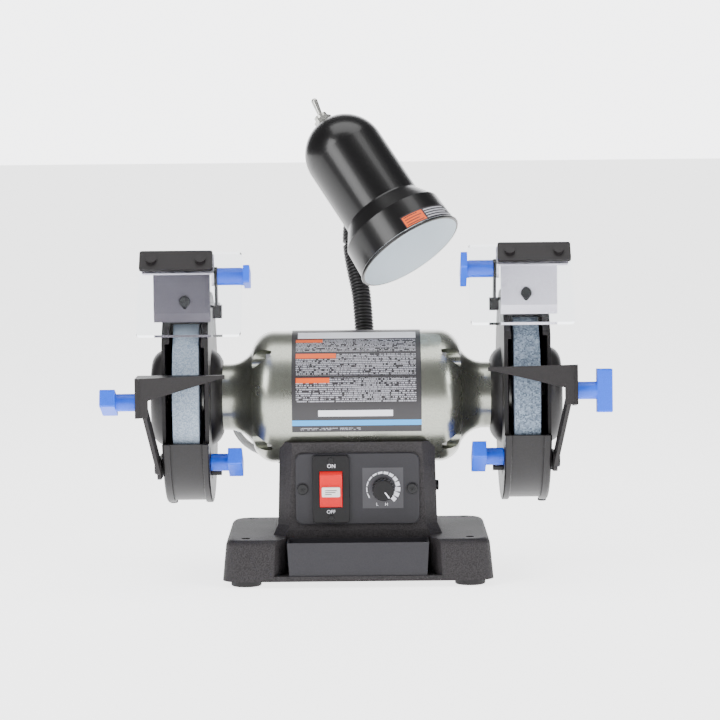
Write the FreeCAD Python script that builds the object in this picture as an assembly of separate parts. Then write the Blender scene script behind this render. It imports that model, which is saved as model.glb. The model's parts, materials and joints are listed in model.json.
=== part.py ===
"""Bench grinder with a work lamp: every piece as its own solid.

Millimetres, +Z up.  X runs along the spindle, -Y faces the person at the grinder.
The origin is the middle of the four bench holes, on the bench top.
Pieces of a grinding side are drawn on the right (+X), about the spindle's axis,
and on_side() mirrors, turns and lifts them to where they belong.
"""
import FreeCAD, Part

import math
import os

V = FreeCAD.Vector

# ---- driving dimensions -------------------------------------------------------------

MOTOR_R = 52.0
MOTOR_FLOOR = 89.0         # underside of the motor above the bench
SPINDLE_Z = MOTOR_FLOOR + MOTOR_R
GAP = 0.3                  # clearance between pieces that move past each other
RUNNING_FIT = 0.05         # radial clearance of a stud in its thread or a shaft in its bore

# Spindle and wheels
WHEEL_R = 76.2
WHEEL_WIDTH = 20.0
WHEEL_X = 131.0            # middle of each wheel from the middle of the machine
ARBOR_R = 6.35             # half-inch arbor
JOURNAL_R = 7.5
FLANGE_R = 25.4
FLANGE_THICK = 3.6
NUT_HEIGHT = 8.0
NUT_ACROSS = 19.0
ARBOR_SPARE = 3.5          # thread that stands past the nut

# Motor
SHELL_WALL = 3.0
SHELL_HALF = 51.0          # half the length of the steel shell
BELL_SHOULDER = 64.0       # where the end bell starts to round off
NECK_X = WHEEL_X - 26.0    # end face of the end bell's neck
NECK_R = 26.2
BEARING_R = 17.5
BEARING_WIDTH = 11.0
BEARING_X = NECK_X - 15.0
TIE_BOLT_CIRCLE = MOTOR_R - 6.5
TIE_BOLT_R = 2.2
POCKET_R = 7.0
POCKET_FLOOR = 66.0
STATOR_HALF = 24.0
ROTOR_R = 27.0
AIR_GAP = 0.6

# Wheel guards
GUARD_IN = WHEEL_X - 17.5  # inner face of the guard's inner wall
GUARD_OUT = WHEEL_X + 18.3     # outer face of the guard's cover
GUARD_WALL = 3.0
COVER_WALL = 2.5
LIP_R = WHEEL_R + 6.8
LIP_WIDTH = 5.5
BAND_R = WHEEL_R + 4.8
BAND_WALL = 1.6
FRONT_CUT = WHEEL_R - 10.2     # the side walls are cut flat this far ahead of the axis
MOUTH_LOW = -21.5          # edges of the guard's mouth, degrees up from straight ahead
MOUTH_HIGH = 50.0
HUB_R = WHEEL_R - 38.2      # dome over the nut
HUB_OUT = WHEEL_X + 30.0
GUARD_TURN = {"left": 0.0, "right": -3.6}

# Lower shroud inside each guard
SHROUD_WALL = 1.3
SHROUD_SPAN = (-64.0, -22.5)
SHROUD_STUD = (WHEEL_R - 11.2, -46.0)  # radius and angle of the clamp stud
SHROUD_PIN = (WHEEL_R - 11.2, -58.5)
SHROUD_TURN = (-5.0, 10.0)
STUD_R = 3.0

# Tool rests
REST_TOP = 24.0            # above the spindle axis
REST_PLATE = 3.0
REST_OUTER = WHEEL_X + 36.0
REST_INNER = WHEEL_X - 30.5
REST_REAR = WHEEL_R + 1.3
REST_FRONT = REST_REAR + 31.5
REST_BOLT = (-WHEEL_R - 18.8, 5.0)     # pivot bolt, from the spindle axis
REST_TILT = {"left": 0.0, "right": -4.0}
ARM_THICK = 3.0
ARM_WIDTH = 15.0
ARM_TRAVEL = (-8.0, 1.2)

# Knobs
KNOB_NECK_R = 6.7
KNOB_BAR = (33.0, 13.5)    # length and width of the wing bar
KNOB_HEAD = 11.0

# Eye shields and spark arrestors
SHIELD_PIVOT = (13.2 - WHEEL_R, WHEEL_R + 21.8)
SHIELD_TOP = (8.2 - WHEEL_R, WHEEL_R + 33.8)  # middle of the strip on the shield's front face
SHIELD_LEAN = 40.0
SHIELD_THICK = 3.0
SHIELD_LENGTH = 78.0
SHIELD_SPAN = (WHEEL_X - 44.5, WHEEL_X + 34.0)
STRIP_SPAN = (WHEEL_X - 22.0, WHEEL_X + 34.0)
STRIP_WIDTH = 18.0
STRIP_THICK = 2.5
EAR_IN = WHEEL_X - 25.2
EAR_THICK = 2.0
ARRESTOR_SPAN = (WHEEL_X - 19.5, WHEEL_X + 24.0)
ARRESTOR_FRONT = WHEEL_R - 14.2
ARRESTOR_LOW = math.sqrt(LIP_R ** 2 - (ARRESTOR_FRONT - 4.0) ** 2) + 3.63    # clear of the lips
ARRESTOR_SPAN_Z = (ARRESTOR_LOW, WHEEL_R + 23.8)
ARRESTOR_THICK = 1.5
ARRESTOR_TRAVEL = (-2.5, 3.0)
BRACKET_Z = WHEEL_R - 2.2  # shelf that carries the arrestor and the ear

# Pedestal
FOOT_HEIGHT = 5.0
FOOT_R = 11.75
BENCH_HOLE_R = 3.5
BASE_WIDTH = 209.0
BASE_DEPTH = 148.0
BENCH_HOLES = (BASE_WIDTH - 36.0, BASE_DEPTH - 28.0)
BASE_SHIFT = -4.0          # middle of the base, ahead of the bench holes' middle
BASE_TOP = 36.5
BASE_DRAFT = 3.0
BASE_CORNER = 15.0
BASE_WALL = 4.0
COLUMN_TOP = MOTOR_FLOOR + 20.0
COLUMN_FRONT = MOTOR_R - 5.5
COLUMN_FRONT_WIDTH = (106.5, 101.0)   # at the foot and at the top
COLUMN_WIDTH = (124.5, 120.5)
COLUMN_CHAMFER = 10.0
COLUMN_FLARE = 6.0
COLUMN_WALL = 4.0
RECESS_WIDTH = 112.0
RECESS_REAR = COLUMN_FRONT + 1.5
RECESS_FLOOR = 9.0
TRAY_WIDTH = 109.0
TRAY_HEIGHT = 25.7
TRAY_WALL = 1.2

# Control panel
PANEL_Z = MOTOR_FLOOR - 16.0
PANEL_WIDTH = 96.0
PANEL_HEIGHT = 55.4
PANEL_THICK = 2.0
PANEL_CORNER = 6.0
PANEL_SCREW_X = 42.5
SWITCH_X = -20.5
SWITCH_WIDTH = 28.6
SWITCH_HEIGHT = 53.0
BEZEL_THICK = 3.0
ROCKER_WIDTH = 17.4
ROCKER_R = 15.2
ROCKER_SET_BACK = 6.5      # rocker's pivot behind the bezel's face
ROCKER_LEAN = 8.0
ROCKER_RIDGE = 9.8         # ridge between the rocker's pads, ahead of its pivot
DIAL_X = 20.0
DIAL_KNOB_R = 8.5
DIAL_KNOB_HEIGHT = 12.0

# Work lamp
NECK_TUBE_R = 8.0
SOCKET_POINT = V(12.0, MOTOR_R + 20.0, MOTOR_FLOOR + 16.0)
BASE_BEND = SOCKET_POINT + V(0.0, 0.0, 3.6)
MID_BEND = V(5.5, MOTOR_R + 27.0, SPINDLE_Z + 65.0)
NECK_LEAN_POINT = V(-6.0, MOTOR_R + 40.0, SPINDLE_Z + 123.0)  # farthest to the left
HOOK_R = 22.0              # bend that turns the gooseneck into the back of the shade
HOOK_RISE = V(0.35, 0.0, 0.94)        # the way the gooseneck rises into that bend
MOUTH_CENTRE = V(43.7, MOTOR_R - 42.0, SPINDLE_Z + 112.7)
SHADE_AXIS = V(0.51, -0.37, -0.776)   # out of the shade's mouth
SHADE_LENGTH = 132.0
SHADE_R = 32.5
SHADE_WALL = 1.2
COLLAR_BACK = 41.0
COLLAR_FRONT = 27.0
COLLAR_R = 42.0
MOUTH_R = 43.6
SWIVEL_FROM_MOUTH = 94.7
SWIVEL_SIDE = V(0.203, 0.929, -0.309)
SWIVEL_OUT = 14.0
BALL_R = 6.0
BEND_GAP = 2.2
BULB_BORE_R = 13.3
BULB_BORE_DEPTH = 20.0

# Motor lead: diameter and the points of its route
LEAD_R = 2.8
LEAD_ROUTE = [V(7.0 - NECK_X, 26.5, SPINDLE_Z - 12.8), V(6.5 - NECK_X, 34.0, SPINDLE_Z - 19.5),
              V(7.5 - NECK_X, 38.0, SPINDLE_Z - 30.5), V(14.0 - NECK_X, 38.5, MOTOR_FLOOR + 12.0),
              V(-81.0, 37.0, MOTOR_FLOOR + 5.5), V(-71.5, 35.5, MOTOR_FLOOR + 2.0),
              V(-65.5, 35.0, MOTOR_FLOOR + 1.5)]

SIDES = ("left", "right")

# ---- worked-out sizes ---------------------------------------------------------------

WHEEL_IN = WHEEL_X - WHEEL_WIDTH / 2
WHEEL_OUT = WHEEL_X + WHEEL_WIDTH / 2
JOURNAL_END = WHEEL_IN - FLANGE_THICK
NUT_IN = WHEEL_OUT + FLANGE_THICK
SHELL_BORE = MOTOR_R - SHELL_WALL
BAND_BORE = BAND_R - BAND_WALL
PANEL_FACE = COLUMN_FRONT + PANEL_THICK
BEZEL_FACE = PANEL_FACE + BEZEL_THICK
ARM_IN = GUARD_OUT + 1.3
REST_PLATE_IN = REST_OUTER - REST_PLATE
EYE_OUT = REST_PLATE_IN - GAP
BASE_FRONT = BASE_DEPTH / 2 - BASE_SHIFT


# ---- shape helpers ------------------------------------------------------------------

def block(x0, x1, y0, y1, z0, z1):
    return Part.makeBox(x1 - x0, y1 - y0, z1 - z0, V(x0, y0, z0))


def rod_x(x0, x1, radius, y=0.0, z=0.0):
    return Part.makeCylinder(radius, x1 - x0, V(x0, y, z), V(1, 0, 0))


def rod_y(y0, y1, radius, x=0.0, z=0.0):
    return Part.makeCylinder(radius, y1 - y0, V(x, y0, z), V(0, 1, 0))


def rod_z(z0, z1, radius, x=0.0, y=0.0):
    return Part.makeCylinder(radius, z1 - z0, V(x, y, z0), V(0, 0, 1))


def ring_x(x0, x1, bore, radius, y=0.0, z=0.0):
    return rod_x(x0, x1, radius, y, z).cut(rod_x(x0 - 1, x1 + 1, bore, y, z))


def outline(steps, place):
    """A closed wire.  A step is a point (a, b), or a pair of points (middle, end) of an arc."""
    edges = []
    start = place(*steps[0])
    first = start
    for step in steps[1:]:
        if isinstance(step[0], tuple):
            end = place(*step[1])
            edges.append(Part.Arc(start, place(*step[0]), end).toShape())
        else:
            end = place(*step)
            edges.append(Part.LineSegment(start, end).toShape())
        start = end
    if start.distanceToPoint(first) > 1e-6:
        edges.append(Part.LineSegment(start, first).toShape())
    return Part.Wire(edges)


def turned_x(steps):
    """Turn an outline of (x, radius) points about the X axis."""
    face = Part.Face(outline(steps, lambda x, r: V(x, 0, r)))
    return face.revolve(V(0, 0, 0), V(1, 0, 0), 360)


def turned_z(steps):
    """Turn an outline of (radius, z) points about the Z axis."""
    face = Part.Face(outline(steps, lambda r, z: V(r, 0, z)))
    return face.revolve(V(0, 0, 0), V(0, 0, 1), 360)


def prism_x(steps, x0, x1):
    """An outline of (y, z) points, as thick as from x0 to x1."""
    return Part.Face(outline(steps, lambda y, z: V(x0, y, z))).extrude(V(x1 - x0, 0, 0))


def prism_y(steps, y0, y1):
    return Part.Face(outline(steps, lambda x, z: V(x, y0, z))).extrude(V(0, y1 - y0, 0))


def prism_z(steps, z0, z1):
    return Part.Face(outline(steps, lambda x, y: V(x, y, z0))).extrude(V(0, 0, z1 - z0))


def loft(lower, upper):
    return Part.makeLoft([lower, upper], True, True)


def joined(*shapes):
    """One solid from pieces that touch or overlap."""
    return shapes[0].fuse(list(shapes[1:])).removeSplitter()


def group(shapes):
    return Part.makeCompound(list(shapes))


def rounded(shape, radius, wanted):
    return shape.makeFillet(radius, [edge for edge in shape.Edges if wanted(edge)])


def along(axis_letter):
    """Picks straight edges that run along one axis."""
    index = "xyz".index(axis_letter)

    def wanted(edge):
        if not isinstance(edge.Curve, Part.Line):
            return False
        return abs(edge.tangentAt(edge.FirstParameter)[index]) > 0.999
    return wanted


def pointed(shape, at, direction):
    """A shape drawn about +Z from the origin, turned to a direction and put at a point."""
    placed = shape.copy()
    placed.Placement = FreeCAD.Placement(at, FreeCAD.Rotation(V(0, 0, 1), direction))
    return placed


def polar(radius, degrees):
    """Y and Z of a point about the spindle, degrees up from straight ahead."""
    angle = math.radians(degrees)
    return -radius * math.cos(angle), radius * math.sin(angle)


def arc_steps(radius, from_degrees, to_degrees):
    """One arc of an outline about the spindle, as its middle and end points."""
    middle = (from_degrees + to_degrees) / 2
    return polar(radius, middle), polar(radius, to_degrees)


def sector(inner, outer, from_degrees, to_degrees, x0, x1):
    """A stretch of a ring about the spindle."""
    steps = [polar(inner, from_degrees), polar(outer, from_degrees),
             arc_steps(outer, from_degrees, to_degrees), polar(inner, to_degrees),
             arc_steps(inner, to_degrees, from_degrees)]
    return prism_x(steps, x0, x1)


def slot_y(half_length, radius, y, z, x0, x1):
    """A slot along Y that goes through along X."""
    middle = block(x0, x1, y - half_length, y + half_length, z - radius, z + radius)
    ends = [rod_x(x0, x1, radius, y + end * half_length, z) for end in (-1, 1)]
    return middle.fuse(ends)


def rounded_wire(width, depth, corner, y_middle, z):
    """A rectangle with round corners, lying flat."""
    w = width / 2
    d = depth / 2
    k = corner * (1 - math.sqrt(0.5))
    steps = [(-w + corner, -d), (w - corner, -d), ((w - k, -d + k), (w, -d + corner)),
             (w, d - corner), ((w - k, d - k), (w - corner, d)),
             (-w + corner, d), ((-w + k, d - k), (-w, d - corner)),
             (-w, -d + corner), ((-w + k, -d + k), (-w + corner, -d))]
    return outline(steps, lambda x, y: V(x, y + y_middle, z))


def tangent_path(points):
    """Straight runs joined by tangent arcs, each as large as its two runs allow."""
    edges = []
    radii = []
    start = points[0]
    for before, corner, after in zip(points, points[1:], points[2:]):
        back = before - corner
        ahead = after - corner
        half_turn = (math.pi - back.getAngle(ahead)) / 2
        radius = 0.45 * min(back.Length, ahead.Length) / math.tan(half_turn)
        reach = radius * math.tan(half_turn)
        back.normalize()
        ahead.normalize()
        arc_start = corner + back * reach
        arc_end = corner + ahead * reach
        bisector = back + ahead
        bisector.normalize()
        centre = corner + bisector * (radius / math.cos(half_turn))
        edges.append(Part.LineSegment(start, arc_start).toShape())
        edges.append(Part.Arc(arc_start, centre - bisector * radius, arc_end).toShape())
        start = arc_end
        radii.append(radius)
    edges.append(Part.LineSegment(start, points[-1]).toShape())
    return Part.Wire(edges), radii


def tube_along(path, radius):
    """A round bar along a wire: a cylinder on each straight run, a part torus on each arc."""
    pieces = []
    for edge in path.Edges:
        start = edge.valueAt(edge.FirstParameter)
        way = edge.tangentAt(edge.FirstParameter)
        disc = Part.Face(Part.Wire(Part.Circle(start, way, radius).toShape()))
        if isinstance(edge.Curve, Part.Circle):
            turn = math.degrees(edge.Length / edge.Curve.Radius)
            pieces.append(disc.revolve(edge.Curve.Center, edge.Curve.Axis, turn))
        else:
            pieces.append(disc.extrude(way * edge.Length))
    return joined(*pieces)


def hexagon(across, x0, x1, y=0.0, z=0.0):
    """A hexagonal bar along X, measured across its flats."""
    corner_r = across / math.sqrt(3)
    steps = [(y + corner_r * math.cos(math.radians(60 * k)),
              z + corner_r * math.sin(math.radians(60 * k))) for k in range(6)]
    return prism_x(steps, x0, x1)


# ---- where a side's pieces go -------------------------------------------------------

def on_side(shape, side):
    placed = shape.mirror(V(0, 0, 0), V(1, 0, 0)) if side == "left" else shape.copy()
    placed.rotate(V(0, 0, 0), V(1, 0, 0), GUARD_TURN[side])
    placed.translate(V(0, 0, SPINDLE_Z))
    return placed


def side_point(side, x, y, z):
    """A point of a side's drawing, in the machine's frame."""
    angle = math.radians(GUARD_TURN[side])
    sign = -1 if side == "left" else 1
    return V(sign * x, y * math.cos(angle) - z * math.sin(angle),
             SPINDLE_Z + y * math.sin(angle) + z * math.cos(angle))


def both_ends(shape):
    """A piece of the spindle or motor and its mirror image, lifted to the spindle."""
    return group(lifted(end) for end in (shape, mirrored(shape)))


def mirrored(shape):
    return shape.mirror(V(0, 0, 0), V(1, 0, 0))


def lifted(shape):
    placed = shape.copy()
    placed.translate(V(0, 0, SPINDLE_Z))
    return placed


# ---- spindle ------------------------------------------------------------------------

def shaft():
    journal = rod_x(-JOURNAL_END, JOURNAL_END, JOURNAL_R)
    arbor_end = NUT_IN + NUT_HEIGHT + ARBOR_SPARE
    arbor = rod_x(-arbor_end, arbor_end, ARBOR_R)
    arbor = rounded(arbor, 1.0, lambda edge: isinstance(edge.Curve, Part.Circle))
    return joined(journal, arbor)


def rotor_core():
    """Laminated core with its two cast end rings and their fan blades."""
    ring_thick = 5.0
    core = ring_x(-STATOR_HALF, STATOR_HALF, JOURNAL_R, ROTOR_R)
    end_ring = ring_x(STATOR_HALF, STATOR_HALF + ring_thick, ROTOR_R - 9, ROTOR_R - 1)
    blades = []
    for k in range(8):
        blade = block(STATOR_HALF + ring_thick, STATOR_HALF + ring_thick + 6,
                      ROTOR_R - 8.5, ROTOR_R - 2, -0.8, 0.8)
        blade.rotate(V(0, 0, 0), V(1, 0, 0), 45 * k)
        blades.append(blade)
    end = joined(end_ring, *blades)
    return joined(core, end, mirrored(end))


def wheel():
    body = ring_x(WHEEL_IN, WHEEL_OUT, ARBOR_R, WHEEL_R)
    edge_round = 0.6
    return rounded(body, edge_round, lambda edge: abs(edge.Length - 2 * math.pi * WHEEL_R) < 0.1)


def wheel_flange(contact_x, away):
    """A dished flange: only its outer ring presses on the wheel."""
    relief = 0.8
    back = contact_x + away * FLANGE_THICK
    steps = [(back, ARBOR_R), (back, FLANGE_R - 4), (contact_x + away * 1.6, FLANGE_R),
             (contact_x, FLANGE_R), (contact_x, FLANGE_R - 7),
             (contact_x + away * relief, FLANGE_R - 7.5), (contact_x + away * relief, ARBOR_R)]
    return turned_x(steps)


def arbor_nut():
    nut = hexagon(NUT_ACROSS, NUT_IN, NUT_IN + NUT_HEIGHT)
    chamfered = turned_x([(NUT_IN, 0), (NUT_IN, NUT_ACROSS), (NUT_IN + NUT_HEIGHT - 2, NUT_ACROSS / 2 + 1.8),
                          (NUT_IN + NUT_HEIGHT, NUT_ACROSS / 2 - 0.4), (NUT_IN + NUT_HEIGHT, 0)])
    return nut.common(chamfered).cut(rod_x(NUT_IN - 1, NUT_IN + NUT_HEIGHT + 1, ARBOR_R))


# ---- motor --------------------------------------------------------------------------

def tie_bolt_places():
    return [polar(TIE_BOLT_CIRCLE, 45 + 90 * k) for k in range(4)]


def motor_shell():
    shell = ring_x(-SHELL_HALF, SHELL_HALF, SHELL_BORE, MOTOR_R)
    return lifted(shell)


def stator_core():
    notch = TIE_BOLT_R + GAP
    core = ring_x(-STATOR_HALF, STATOR_HALF, ROTOR_R + AIR_GAP, SHELL_BORE)
    notches = [rod_x(-SHELL_HALF, SHELL_HALF, notch, y, z) for y, z in tie_bolt_places()]
    return lifted(core.cut(notches))


def stator_windings():
    """The two end turns, as round-edged rings against the core."""
    inner = ROTOR_R + 4
    outer = TIE_BOLT_CIRCLE - TIE_BOLT_R - 1.5
    end_turn = ring_x(STATOR_HALF, STATOR_HALF + 13, inner, outer)
    edge_x = STATOR_HALF + 13
    end_turn = rounded(end_turn, 3.0, lambda e: abs(e.CenterOfMass.x - edge_x) < 0.01
                       and isinstance(e.Curve, Part.Circle))
    return both_ends(end_turn)


def end_bell(guard_turn):
    """Cast end bell: round shoulder, flared neck, bearing seat and four scooped pockets."""
    waist_x = BELL_SHOULDER + 17.6
    waist_r = MOTOR_R - 14.0
    throat = (waist_x + 0.326 * (NECK_X - 5 - waist_x), NECK_R + 0.373 * (waist_r - NECK_R))
    skin = turned_x([(SHELL_HALF, 0), (SHELL_HALF, MOTOR_R), (BELL_SHOULDER, MOTOR_R),
                     ((BELL_SHOULDER + 12.0, MOTOR_R - 4.4), (waist_x, waist_r)),
                     (throat, (NECK_X - 5, NECK_R)), (NECK_X, NECK_R), (NECK_X, 0)])
    seat_end = BEARING_X + BEARING_WIDTH
    bore_r = MOTOR_R - 3.5
    cavity = turned_x([(SHELL_HALF - 1, 0), (SHELL_HALF - 1, bore_r), (62.0, bore_r),
                       ((72.0, bore_r - 4.5), (77.5, bore_r - 13)), (BEARING_X - 6, BEARING_R),
                       (seat_end, BEARING_R), (seat_end, 0)])
    bell = skin.cut(cavity)
    bosses = [rod_x(SHELL_HALF, NECK_X, POCKET_R + 2, y, z) for y, z in tie_bolt_places()]
    boss_zone = skin.cut(rod_x(SHELL_HALF - 1, NECK_X + 1, NECK_R + 6))
    bell = joined(bell, *[boss.common(boss_zone) for boss in bosses])
    pockets = [rod_x(POCKET_FLOOR, NECK_X, POCKET_R, y, z) for y, z in tie_bolt_places()]
    holes = [rod_x(SHELL_HALF - 1, NECK_X, TIE_BOLT_R, y, z) for y, z in tie_bolt_places()]
    screw_holes = [rod_x(NECK_X - 9, NECK_X + 1, 2.0, y, z) for y, z in guard_screw_places()]
    for hole in screw_holes:
        hole.rotate(V(0, 0, 0), V(1, 0, 0), guard_turn)
    shaft_hole = rod_x(seat_end - 1, NECK_X + 1, JOURNAL_R + 1)
    return bell.cut(pockets + holes + screw_holes + [shaft_hole])


def tie_bolts():
    """Four long bolts that clamp the bells to the shell, heads and nuts in the pockets."""
    bolts = []
    for y, z in tie_bolt_places():
        shank = rod_x(-POCKET_FLOOR, POCKET_FLOOR, TIE_BOLT_R, y, z)
        head = hexagon(8.0, POCKET_FLOOR, POCKET_FLOOR + 4.0, y, z)
        washer = rod_x(POCKET_FLOOR, POCKET_FLOOR + 0.8, 5.2, y, z)
        end = joined(head, washer)
        bolts.append(lifted(joined(shank, end, mirrored(end))))
    return group(bolts)


def bearings():
    """Two sealed ball bearings, each drawn as one ring with a groove between its races."""
    end = BEARING_X + BEARING_WIDTH
    body = ring_x(BEARING_X, end, JOURNAL_R + RUNNING_FIT, BEARING_R)
    grooves = [ring_x(x0, x0 + 0.8, JOURNAL_R + 3, BEARING_R - 3) for x0 in (BEARING_X, end - 0.8)]
    return both_ends(body.cut(grooves))


# ---- wheel guards -------------------------------------------------------------------

def guard_screw_places():
    middle = (BEARING_R + NECK_R) / 2
    return [polar(middle, 90 + 120 * k) for k in range(3)]


def front_cut(x0, x1):
    """What is cut off the front of the side walls, between the two edges of the mouth."""
    low = polar(BAND_R, MOUTH_LOW)[1]
    return block(x0, x1, -LIP_R - 5, -FRONT_CUT, low, LIP_R)


def shroud_slot():
    """Arc slot in the inner wall, for the shroud's stud and guide pin."""
    radius = SHROUD_STUD[0]
    half_width = STUD_R + GAP
    low = SHROUD_PIN[1] + SHROUD_TURN[0] - 1
    high = SHROUD_STUD[1] + SHROUD_TURN[1] + 1
    x0 = GUARD_IN - 1
    x1 = GUARD_IN + GUARD_WALL + 1
    slot = sector(radius - half_width, radius + half_width, low, high, x0, x1)
    ends = [rod_x(x0, x1, half_width, *polar(radius, angle)) for angle in (low, high)]
    return slot.fuse(ends)


def guard():
    """Inner wall with its lip and hub, the band round the wheel, and the front bracket."""
    wall_end = GUARD_IN + GUARD_WALL
    wall = rod_x(GUARD_IN, wall_end, LIP_R)
    lip = ring_x(GUARD_IN, GUARD_IN + LIP_WIDTH, BAND_BORE, LIP_R)
    sides = joined(wall, lip)
    sides = rounded(sides, 1.2, lambda e: abs(e.Length - 2 * math.pi * LIP_R) < 0.1)
    hub = turned_x([(NECK_X, 0), (NECK_X, NECK_R + 2),
                    ((NECK_X + 3.2, NECK_R + 7.8), (GUARD_IN, NECK_R + 11.8)), (GUARD_IN, 0)])
    band_end = GUARD_OUT - COVER_WALL
    band = sector(BAND_BORE, BAND_R, MOUTH_HIGH, 360 + MOUTH_LOW, wall_end, band_end)
    body = joined(sides.cut(front_cut(GUARD_IN - 1, GUARD_IN + LIP_WIDTH + 1)), band, hub)
    body = joined(body, front_bracket())
    cuts = [rod_x(NECK_X - 1, wall_end + 1, JOURNAL_R + 1.5), shroud_slot()]
    for y, z in guard_screw_places():
        cuts.append(rod_x(NECK_X - 1, wall_end + 1, 2.0, y, z))
        cuts.append(rod_x(wall_end - 4.0, wall_end + 1, 3.7, y, z))
    cuts += rim_screw_cutters()
    return body.cut(cuts)


def front_bracket():
    """Shelf on top of the guard's front, the arrestor's tab and the ear that holds the shield."""
    pivot_y, pivot_z = SHIELD_PIVOT
    tab_front = -(ARRESTOR_FRONT - ARRESTOR_THICK - GAP)
    tab_rear = tab_front + 2
    seat = -math.sqrt(BAND_BORE ** 2 - (BRACKET_Z + 1) ** 2) + 1.0
    shelf = block(EAR_IN, WHEEL_X + 11, tab_front, seat, BRACKET_Z, BRACKET_Z + 2)
    tab = block(WHEEL_X - 11, WHEEL_X + 11, tab_front, tab_rear, BRACKET_Z, BRACKET_Z + 11)
    ear_r = 7.5
    ear = prism_x([(tab_front - 4, BRACKET_Z), (tab_front + 12, BRACKET_Z), (pivot_y + ear_r, pivot_z),
                   ((pivot_y, pivot_z + ear_r), (pivot_y - ear_r, pivot_z))], EAR_IN, EAR_IN + EAR_THICK)
    foot = block(EAR_IN - 3, EAR_IN + 4, tab_front - 4, tab_front + 8, BRACKET_Z - 8, BRACKET_Z + 2)
    pivot_hole = rod_x(EAR_IN - 1, EAR_IN + EAR_THICK + 1, STUD_R + RUNNING_FIT, pivot_y, pivot_z)
    screw_hole = rod_y(tab_front - 1, tab_rear + 1, 2.0, WHEEL_X, BRACKET_Z + 5)
    return joined(shelf, tab, ear, foot).cut([pivot_hole, screw_hole])


def rim_screw_angles():
    return (95.0, 180.0, 265.0)


def rim_screw_cutters():
    return [rim_rod(BAND_BORE - 1, LIP_R + 1, 1.6, angle) for angle in rim_screw_angles()]


def rim_rod(inner, outer, radius, angle):
    """A rod that stands out from the spindle's axis, through the cover's rim."""
    y0, z0 = polar(inner, angle)
    y1, z1 = polar(1.0, angle)
    x = GUARD_OUT - LIP_WIDTH / 2 - 0.5
    return Part.makeCylinder(radius, outer - inner, V(x, y0, z0), V(0, y1, z1))


def arm_screw_places():
    return [(24.2 - WHEEL_R, 26.2 - WHEEL_R), (44.2 - WHEEL_R, 26.2 - WHEEL_R)]


def guard_cover():
    """Outer cover: flat wall, rolled rim, domed hub and the two bosses of the rest's arm."""
    wall_in = GUARD_OUT - COVER_WALL
    rim_in = GUARD_OUT - LIP_WIDTH - 0.5
    outer = turned_x([(wall_in, 0), (wall_in, BAND_R), (rim_in, BAND_R), (rim_in, LIP_R),
                      (GUARD_OUT - 2, LIP_R),
                      ((GUARD_OUT - 0.6, LIP_R - 0.6), (GUARD_OUT, LIP_R - 2)), (GUARD_OUT, HUB_R),
                      ((HUB_OUT - 3.5, HUB_R - 3.5), (HUB_OUT, HUB_R - 12)), (HUB_OUT, 0)])
    hollow = turned_x([(wall_in - 1, 0), (wall_in - 1, HUB_R - COVER_WALL), (wall_in, HUB_R - COVER_WALL),
                       ((HUB_OUT - 5.6, HUB_R - 5.6), (HUB_OUT - COVER_WALL, HUB_R - 13)),
                       (HUB_OUT - COVER_WALL, 0)])
    bosses = [rod_x(GUARD_OUT - 0.5, ARM_IN - 0.1, 6.0, y, z) for y, z in arm_screw_places()]
    cover = joined(outer.cut(hollow).cut(front_cut(rim_in - 1, GUARD_OUT + 1)), *bosses)
    holes = [rod_x(wall_in - 1, ARM_IN + 1, 2.5, y, z) for y, z in arm_screw_places()]
    return cover.cut(holes + rim_screw_cutters())


def guard_screws():
    """Screws of both guards: into the neck, round the rim, on the arm and on the arrestor."""
    screws = []
    wall_end = GUARD_IN + GUARD_WALL
    for y, z in guard_screw_places():
        head = rod_x(wall_end - 4.0, wall_end - 0.5, 3.7, y, z)
        screws.append(joined(head, rod_x(NECK_X - 8, wall_end - 4.0, 2.0, y, z)))
    for angle in rim_screw_angles():
        head = rounded(rim_rod(LIP_R, LIP_R + 2.0, 3.4, angle), 0.9,
                       lambda e: math.hypot(e.CenterOfMass.y, e.CenterOfMass.z) > LIP_R + 1.9)
        screws.append(joined(head, rim_rod(BAND_BORE, LIP_R, 1.6, angle)))
    head_in = ARM_IN + ARM_THICK + 0.1
    for y, z in arm_screw_places():
        head = rounded(rod_x(head_in, head_in + 3, 5.0, y, z), 1.2,
                       lambda e: e.CenterOfMass.x > head_in + 2.9)
        screws.append(joined(head, rod_x(GUARD_OUT - COVER_WALL, head_in, 2.5, y, z)))
    screws.append(arrestor_screw())
    return group(on_side(screw, side) for side in SIDES for screw in screws)


def arrestor_screw():
    tab_rear = -(ARRESTOR_FRONT - ARRESTOR_THICK - GAP) + 2
    head_rear = -ARRESTOR_FRONT - 0.1
    z = BRACKET_Z + 5
    head = rounded(rod_y(head_rear - 2.6, head_rear, 4.2, WHEEL_X, z), 1.0,
                   lambda e: e.CenterOfMass.y < head_rear - 2.5)
    return joined(head, rod_y(head_rear, tab_rear, 2.0, WHEEL_X, z))


# ---- lower shroud and its knob ------------------------------------------------------

def shroud():
    """Curved sheet that closes the gap below the work, on a web inside the guard's inner wall."""
    low, high = SHROUD_SPAN
    outer = BAND_BORE - 0.7
    inner = outer - SHROUD_WALL
    web_in = GUARD_IN + GUARD_WALL + GAP
    web_out = web_in + SHROUD_WALL
    sheet = sector(inner, outer, low, high, web_in, GUARD_OUT - COVER_WALL - 0.8)
    web = sector(SHROUD_STUD[0] - 8, outer, low, high, web_in, web_out)
    pin = rod_x(GUARD_IN - 8, web_out, STUD_R - 0.2, *polar(*SHROUD_PIN))
    stud_hole = rod_x(web_in - 1, web_out + 1, STUD_R + RUNNING_FIT, *polar(*SHROUD_STUD))
    return joined(sheet, web, pin).cut(stud_hole)


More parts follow.
